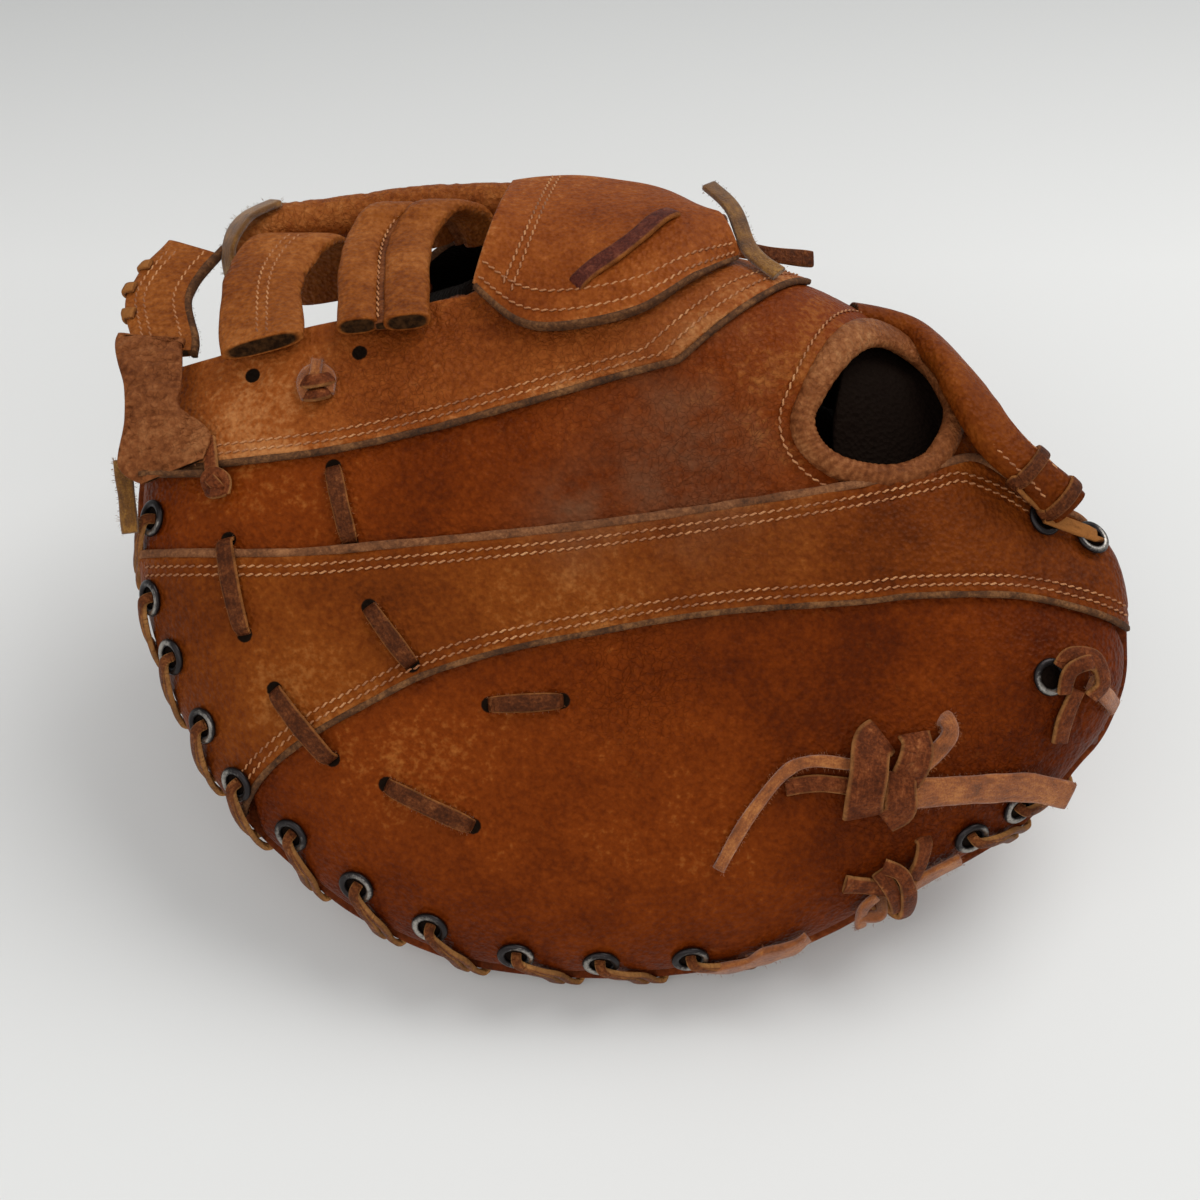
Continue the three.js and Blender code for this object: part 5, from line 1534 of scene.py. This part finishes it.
class MITT_OT_tip_and_tab(bpy.types.Operator):
    """Makes the stiff tip of the web and the creased tab in front of it."""

    bl_idname = "mitt.tip_and_tab"
    bl_label = "Tip and tab"

    def execute(self, context):
        points = spaced(TIP_ROWS)
        sides = np.array([LEVEL] * len(points))
        tip = strip("web_tip_leather", points, sides, 19.0, 3.2, box=0.4, ring=24, uneven=0.05)
        finish_piece(tip, ["bar"], ["web_tip"])
        rows = [on_stops(points, sides, shift, 1.5, start=0.04, end=0.96) for shift in (-6.4, -3.8, 5.2)]
        wraps = []
        for i, share in enumerate((0.2, 0.42, 0.63, 0.84)):
            t = share * (len(points) - 1)
            centre = flow(points, [t])[0]
            way = unit(flow(points, [t + 0.1])[0] - flow(points, [t - 0.1])[0])
            up = np.cross(way, LEVEL)
            slant = way * 2.4
            ring = [centre + np.array((x, 0, 0)) + up * z + slant * s for x, z, s in WRAP_ROWS]
            wraps.append(strip(f"tip_wrap_{i}", ring, way, 4.2, 1.6, box=0.55, uneven=0.12))
        finish_piece(joined("tip_lace_wraps", wraps), ["lace"])
        points = on_sheet_rows([row[:3] for row in TAB_ROWS])
        scales = np.array([(row[3], 1) for row in TAB_ROWS])
        sides = np.array([LEVEL] * len(points))
        t = np.linspace(0, len(points) - 1, 60)
        tab = strip("creased_tab", flow(points, t), LEVEL, 28.0, 3.0, box=0.4, ring=44, step=0.7,
                    scales=flow(scales, t), uneven=0.03)
        flat = np.array([v.co for v in tab.data.vertices]) / MM
        x, y = flat[:, 0], flat[:, 1]
        turned = np.stack((x * 0.75 + y * 0.6, y * 0.75 - x * 0.6), axis=-1)
        folds = ripples(turned * (1 / 9, 1 / 3.2), 2.2)
        normals = np.array([v.normal for v in tab.data.vertices])
        lifts = np.clip(1 - np.abs(folds) * 5, 0, 1) * np.clip(normals[:, 2] * 3 - 1, 0, 1)
        flat -= normals * lifts[:, None] * 0.8
        tab.data.vertices.foreach_set("co", (flat * MM).astype(np.float32).ravel())
        tab.data.update()
        # The pressed-in creases are painted darker as shade.
        set_values(tab, "crease", 0.4 + 0.6 * lifts)
        set_values(tab, "dark", lifts * 0.8)
        finish_piece(tab, ["tab"], ["web_tab"])
        for shift in (-6.5, -3, 0.5, 4, 7):
            rows.append(on_stops(points, sides, shift, 1.5, count=10, start=0.86, end=0.97))
        sew("tip_stitching", rows)
        return {"FINISHED"}


FLAP_FOOT = [
    (-0.125, 0.968), (-0.077, 0.902), (-0.03, 0.892), (0.032, 0.885), (0.075, 0.895), (0.11, 0.915),
]
FLAP_HEAD = [
    (-0.091, 0.929, 0.968), (-0.057, 0.938, 0.972), (-0.01, 0.938, 0.972), (0.042, 0.924, 0.968),
    (0.08, 0.89, 0.968), (0.112, 0.845, 0.962),
]
FLAP_BULGE, FLAP_THICKNESS, FLAP_LINES = 7.0, 3.6, 5


def flap_grid():
    rise = np.array((0, -0.3, 0.95))
    lines = []
    for foot, head in zip(FLAP_FOOT, FLAP_HEAD):
        start = skin(on_sheet(foot)[None], LAYER_STEP + GAP + 0.6)[0][0]
        share = np.linspace(0, 1, FLAP_LINES + 1)[:, None]
        lines.append(mix(start, space(head), share) + rise * FLAP_BULGE * np.sin(share * math.pi))
    return np.array(lines)


def flap_surface(u, v):
    """Points of the flap at shares along (u) and up (v), smooth both ways."""
    grid = flap_grid()
    columns, rows = grid.shape[:2]
    stacked = grid.transpose(1, 0, 2).reshape(rows, -1)
    rows_at = flow(stacked, v * (rows - 1)).reshape(len(v), columns, 3)
    span = u * (columns - 1)
    i = np.minimum(span.astype(int), columns - 2)
    index = np.arange(len(u))
    stops = (rows_at[index, np.clip(i + k, 0, columns - 1)] for k in (-1, 0, 1, 2))
    return smooth_step(*stops, (span - i)[:, None])


def flap_point(u, v, height):
    u, v = np.asarray(u, float), np.asarray(v, float)
    step = 0.02
    across = flap_surface(np.clip(u + step, 0, 1), v) - flap_surface(np.clip(u - step, 0, 1), v)
    up = flap_surface(u, np.clip(v + step, 0, 1)) - flap_surface(u, np.clip(v - step, 0, 1))
    outward = unit(np.cross(across, up))
    return flap_surface(u, v) + outward * np.asarray(height)[..., None], outward


class MITT_OT_flap(bpy.types.Operator):
    """Makes the stitched flap over the post, with its lace."""

    bl_idname = "mitt.flap"
    bl_label = "Flap"

    def execute(self, context):
        piece, u, v = grid_piece("stitched_flap", 110, 70)
        edge = np.minimum(np.minimum(u, 1 - u) * 66, np.minimum(v, 1 - v) * 30)
        soft = 0.35 * ripples(np.stack((u * 4, v * 2), axis=-1), 6.4)
        points, outward = flap_point(u, v, FLAP_THICKNESS + soft - 0.5 * np.exp(-edge / 0.8))
        set_points(piece, points)
        set_values(piece, "edge", np.exp(-edge / 1.4))
        set_values(piece, "light", np.full(len(u), 0.35))
        for name in ("top", "raw"):
            piece.data.materials.append(looks[name])
        apply_modifier(piece, "SOLIDIFY", thickness=3.2 * MM, offset=-1.0, material_offset_rim=1)
        finish_piece(piece, [], ["web_flap"])
        run = np.linspace(0, 1, 40)
        rows = []
        for inner in (0.0, 0.085):
            side, down = mix(0.24, 0.13, run) + inner * 0.4, mix(0.97, 0.12, run)
            rows.append(flap_point(side, down, FLAP_THICKNESS + 0.1))
            rows.append(flap_point(mix(0.03, 0.97, run), 0.08 + inner + 0 * run, FLAP_THICKNESS + 0.1))
        sew("flap_stitching", rows)
        u = np.array((0.42, 0.43, 0.47, 0.54, 0.61, 0.68, 0.74, 0.75))
        v = np.array((0.19, 0.2, 0.25, 0.32, 0.4, 0.48, 0.54, 0.55))
        height = FLAP_THICKNESS + np.array((-1.5, 0.4, 1.2, 1.7, 1.8, 1.6, 0.5, -1.5))
        points, outward = flap_point(u, v, height)
        lace = strip("flap_crossing_lace", points, sides_of(points, outward), 5.6, 2.0, uneven=0.1)
        finish_piece(lace, ["plum"], ["flap_lace"])
        return {"FINISHED"}


LEFT_TIE = [(-0.39, 0.838, 0.813), (-0.395, 0.871, 0.879), (-0.382, 0.924, 0.905), (-0.355, 0.98, 0.894)]
RIGHT_TIE = [(0.113, 0.895, 1.01), (0.136, 0.84, 1.005), (0.151, 0.76, 0.985)]
RIGHT_TIE_FOOT = (0.155, 0.885)
POST_TAIL = [(0.13, 0.848, 0.91), (0.178, 0.86, 0.88), (0.228, 0.88, 0.848)]
TAB_TAIL = [(-0.468, 0.72, 17), (-0.463, 0.67, 16.8), (-0.459, 0.618, 16.8)]


def suede_end(name, end, node, count, length, seed):
    """Finishes a tie or a loose end with its hairs."""
    hairs = fuzz(f"{name}_fuzz", [end], count, length, seed)
    finish_piece(joined(name, [end, hairs]), ["suede"], [node])


class MITT_OT_ties(bpy.types.Operator):
    """Makes the suede ties round the post and the loose lace ends."""

    bl_idname = "mitt.ties"
    bl_label = "Ties"

    def execute(self, context):
        left = strip("left_tie", spaced(LEFT_TIE), (0.8, -0.6, 0.3), 6.0, 2.2, uneven=0.16)
        suede_end("left_post_tie", left, "web_tie_left", 420, 1.4, 11)
        foot = skin(on_sheet(RIGHT_TIE_FOOT)[None], LAYER_STEP + 2)[0]
        right = strip("right_tie", np.concatenate((spaced(RIGHT_TIE), foot)), LEVEL, 5.0, 2.0, uneven=0.1)
        suede_end("right_post_tie", right, "web_tie_right", 160, 1.0, 12)
        tail = strip("post_tail", spaced(POST_TAIL), (0, -0.8, -0.6), 5.0, 2.0, uneven=0.12)
        finish_piece(tail, ["lace"], ["web_post_tail"])
        tail = strip("tab_tail", on_sheet_rows(TAB_TAIL), LEVEL, 4.8, 1.9, uneven=0.14)
        suede_end("golden_tab_tail", tail, "web_tab_tail", 200, 1.3, 13)
        return {"FINISHED"}


def knot_strand(name, centre, rows, width):
    """A strand of a knot: rows of (right, up, height) in millimetres from the knot's middle."""
    along, up = centre[0] * LENGTH, centre[1] * DEPTH
    points, sides = over_back([(along + x, up + y, height) for x, y, height in rows])
    return strip(name, points, sides, width, 2.0, box=0.55, uneven=0.12, step=0.8)


KNOTS = {  # node: middle, and its strands (rows of right, up and height; width; fuzzy)
    "heel_knot": ((0.267, 0.282), [
        (((-46, -25, 1.4), (-38, -11, 1.8), (-27.6, 2, 2.2), (-19.6, 5.4, 2.6), (-9, 4.6, 3.0)), 3.6, True),
        (((-27, -2, 1.0), (-18, -0.8, 1.6), (-8, -1.6, 2.6)), 5.0, False),
        (((9, 3, 2.6), (14.5, 7.5, 2.6), (19, 13, 2.6), (18.6, 17, 0.8), (17, 17.5, -1.6)), 5.2, True),
        (((4, -3.4, 3.0), (14, -3, 2.4), (28, -2.2, 2.2), (42, -1.4, 3.4), (52, -1.6, 7.5)), 9.0, True),
        (((5, 3, 4.0), (4.5, -3, 4.8), (4.6, -8, 3.8), (1, -11, 2.0)), 9.0, False),
        (((9, 13, 2.2), (9.4, 10, 4.8), (8, 5, 5.6), (6, 0, 3.0)), 9.4, False),
        (((0, 12.4, 2.2), (-3.4, 9.6, 5.4), (-4.8, 2, 7.2), (-6, -5, 6.2), (-5.4, -9.4, 2.4)), 11.4, False),
    ]),
    "heel_knot_low": ((0.279, 0.132), [
        (((-13.3, 2, 1.6), (-7, 1.8, 2.4), (-1, 1.5, 3.2)), 5.6, False),
        (((6, 4.4, 3.4), (8.4, 8.6, 2.6), (10, 13, 0.8), (9.6, 14, -1.4)), 4.8, False),
        (((4, 0.6, 3.4), (12, 4.6, 2.6), (21, 9, 2.4)), 5.2, True),
        (((3, 0, 3.0), (8.3, -3, 2.0)), 4.8, False),
        (((-4, -1, 2.8), (-8, -4.4, 3.4), (-8.6, -9, 4.2), (-4.6, -13, 5.0), (0.4, -11.6, 5.4),
          (2, -6, 5.0)), 3.4, True),
        (((-2.6, 7.6, 2.6), (1.6, 7, 5.6), (3.6, 2, 7.0), (2.4, -4, 6.8), (-2, -9, 5.6)), 4.8, False),
        (((-4, 6, 2.6), (-1, 2.4, 5.0), (1, -3, 5.8), (-1, -8, 4.6)), 4.4, False),
    ]),
    "heel_knot_side": ((0.459, 0.418), [
        (((-1, -3, 2.4), (-4, -11, 1.8), (-5, -18, 1.4)), 5.0, False),
        (((3, -1, 2.6), (9, -5, 2.0), (13, -8, 1.6)), 5.0, True),
        (((-6, 3, 2.2), (-4, 6, 4.6), (2, 5, 6.0), (5, -1, 5.0), (3, -5, 2.6)), 5.0, False),
        (((-5, -4, 2.2), (-5, 2, 5.4), (0, 4, 6.4), (5, 3, 2.6)), 4.4, False),
    ]),
    "web_knot": ((-0.273, 0.815), [
        (((-3, -4, 3.4), (-4.3, 0, 4.0), (-2.8, 3.6, 4.4), (1, 4.4, 4.6), (3.8, 2, 4.2),
          (3.4, -2.6, 3.4)), 3.0, True),
        (((-3.8, 0.6, 3.8), (-1.6, -0.4, 6.2), (1.4, -0.2, 6.6), (4.2, 1.6, 4.2)), 4.2, False),
        (((-3, -3.4, 3.4), (0.4, -4.2, 5.4), (3.4, -2.4, 3.6)), 3.2, False),
        (((-0.6, 1.6, 5.0), (0.2, 3.8, 6.6), (0.5, 5.6, 7.2)), 3.2, True),
    ]),
    "tab_knot": ((-0.366, 0.682), [
        (((-3.5, 13, 2.6), (-2, 7, 3.4), (-0.5, 1, 4.4)), 4.0, False),
        (((-2.2, -2.6, 1.6), (-2.9, 0.6, 3.6), (0, 2.2, 5.0), (2.9, 0.6, 3.8), (2.2, -3, 2.2)), 3.2, False),
        (((-2.2, -2.4, 2.4), (0, -3.6, 4.6), (2.2, -2.4, 2.2)), 3.2, False),
        (((-1.8, 1.2, 3.0), (0, -0.4, 5.6), (1.5, -2.2, 3.2)), 3.4, False),
    ]),
}


class MITT_OT_knots(bpy.types.Operator):
    """Makes the lace knots with their ends."""

    bl_idname = "mitt.knots"
    bl_label = "Knots"

    def execute(self, context):
        for node, (centre, strands) in KNOTS.items():
            pieces, fuzzy = [], []
            for i, (rows, width, is_fuzzy) in enumerate(strands):
                strand = knot_strand(f"{node}_strand_{i}", centre, rows, width)
                strand.data.materials.append(looks["orange_suede"] if is_fuzzy else looks["knot"])
                pieces.append(strand)
                if is_fuzzy:
                    fuzzy.append(strand)
            if fuzzy:
                hairs = fuzz(f"{node}_fuzz", fuzzy, 240, 1.3, 21)
                hairs.data.materials.append(looks["orange_suede"])
                pieces.append(hairs)
            finish_piece(joined(f"{node}_laces", pieces), [], [node])
        return {"FINISHED"}


LAMPS = [  # name, place, size, power
    ("key_light", (0.75, 0.55, 1.5), 1.2, 18),
    ("fill_light", (-0.9, -0.9, 1.1), 1.6, 7),
    ("front_light", (0.2, -1.3, 0.9), 1.4, 6),
]
LAMP_TARGET = (0, 0, 0.05)
CAMERA_PLACE = (-0.006522, -0.350042, 0.423)
CAMERA_TURN = math.radians(42)
CAMERA_LENS, CAMERA_SENSOR = 46.08, 36


class MITT_OT_stage(bpy.types.Operator):
    """Makes the pale floor, the soft lights and the camera."""

    bl_idname = "mitt.stage"
    bl_label = "Stage"

    def execute(self, context):
        sizes, colours = context.scene.mitt_sizes, context.scene.mitt_colours
        make_looks(colours)
        bpy.ops.object.select_all(action="DESELECT")
        bpy.ops.mesh.primitive_plane_add(size=6)
        floor = bpy.context.active_object
        floor.name = "studio_floor"
        floor.data.materials.append(floor_with_painted_falloff("pale_floor", tuple(colours.floor)))
        floor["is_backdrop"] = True
        for name, place, size, power in LAMPS:
            lamp = bpy.data.lights.new(name, "AREA")
            lamp.size, lamp.energy = size, power * sizes.light
            light = made(name, lamp)
            light.location = place
            aim = Vector(LAMP_TARGET) - Vector(place)
            light.rotation_euler = aim.to_track_quat("-Z", "Y").to_euler()
        world = bpy.data.worlds.new("studio_air")
        world.use_nodes = True
        air = world.node_tree.nodes["Background"]
        air.inputs["Color"].default_value = (0.98, 0.99, 1.0, 1)
        air.inputs["Strength"].default_value = 0.42
        bpy.context.scene.world = world
        lens = bpy.data.cameras.new("photo_camera")
        lens.lens = CAMERA_LENS
        lens.sensor_width = lens.sensor_height = CAMERA_SENSOR
        lens.sensor_fit = "HORIZONTAL"
        camera = made("photo_camera", lens)
        camera.location = CAMERA_PLACE
        camera.rotation_euler = (CAMERA_TURN, 0, 0)
        bpy.context.scene.camera = camera
        bpy.context.scene.view_settings.view_transform = "Standard"
        return {"FINISHED"}


# The add-on: its settings, operators and panel

def length_property(name, description, default):
    return bpy.props.FloatProperty(
        name=name, description=description, default=default, min=0, unit="LENGTH", subtype="DISTANCE")


def colour_property(name, description, default):
    return bpy.props.FloatVectorProperty(
        name=name, description=description, default=default, size=4, min=0, max=1, subtype="COLOR")


class MittSizes(bpy.types.PropertyGroup):
    """Sizes that a user may change before the pieces are made."""

    stitch_pitch: length_property("Stitch pitch", "From one stitch to the next", STITCH_PITCH * MM)
    stitch_length: length_property("Stitch length", "Length of one stitch", STITCH_LENGTH * MM)
    stitch_width: length_property("Stitch width", "Width of the thread", STITCH_WIDTH * MM)
    light: bpy.props.FloatProperty(
        name="Light", description="Brightness of the studio lights", default=1.0, min=0, subtype="FACTOR")


class MittColours(bpy.types.PropertyGroup):
    """Colours of the leathers, the thread and the floor."""

    tan: colour_property("Tan", "Middle tone of the top panel and the flap", paint(122, 58, 18))
    russet: colour_property("Russet", "Middle tone of the back", paint(99, 37, 2))
    maroon: colour_property("Maroon", "Darkest tone of the back", paint(58, 15, 2))
    thread: colour_property("Thread", "Middle tone of the stitching", paint(168, 108, 62))
    floor: colour_property("Floor", "The plain floor", paint(226, 226, 224))


MAKERS = (
    MITT_OT_stage, MITT_OT_palm, MITT_OT_shell, MITT_OT_welts, MITT_OT_hole_binding, MITT_OT_eyelets,
    MITT_OT_rim_laces, MITT_OT_surface_laces, MITT_OT_wrist_strap, MITT_OT_web_bars, MITT_OT_web_post,
    MITT_OT_tip_and_tab, MITT_OT_flap, MITT_OT_ties, MITT_OT_knots, MITT_OT_raw_edges, MITT_OT_stitching,
)


class MITT_PT_panel(bpy.types.Panel):
    """Lists the sizes, the colours and the pieces."""

    bl_idname = "MITT_PT_panel"
    bl_label = "First Baseman Mitt"
    bl_space_type = "VIEW_3D"
    bl_region_type = "UI"
    bl_category = "Mitt"

    def draw(self, context):
        for settings in (context.scene.mitt_sizes, context.scene.mitt_colours):
            box = self.layout.box()
            for name in settings.__annotations__:
                box.prop(settings, name)
        for maker in MAKERS:
            self.layout.operator(maker.bl_idname)


CLASSES = (MittSizes, MittColours, *MAKERS, MITT_PT_panel)


def register():
    for each in CLASSES:
        bpy.utils.register_class(each)
    bpy.types.Scene.mitt_sizes = bpy.props.PointerProperty(type=MittSizes)
    bpy.types.Scene.mitt_colours = bpy.props.PointerProperty(type=MittColours)


def unregister():
    del bpy.types.Scene.mitt_colours
    del bpy.types.Scene.mitt_sizes
    for each in reversed(CLASSES):
        bpy.utils.unregister_class(each)


def main():
    register()
    for maker in MAKERS:
        getattr(bpy.ops.mitt, maker.bl_idname.split(".")[1])()
    plain = lambda corners: [list(corner) for corner in corners]
    {"cad": plain(cad_box), "visual": plain(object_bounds())}


if __name__ == "__main__":
    main()
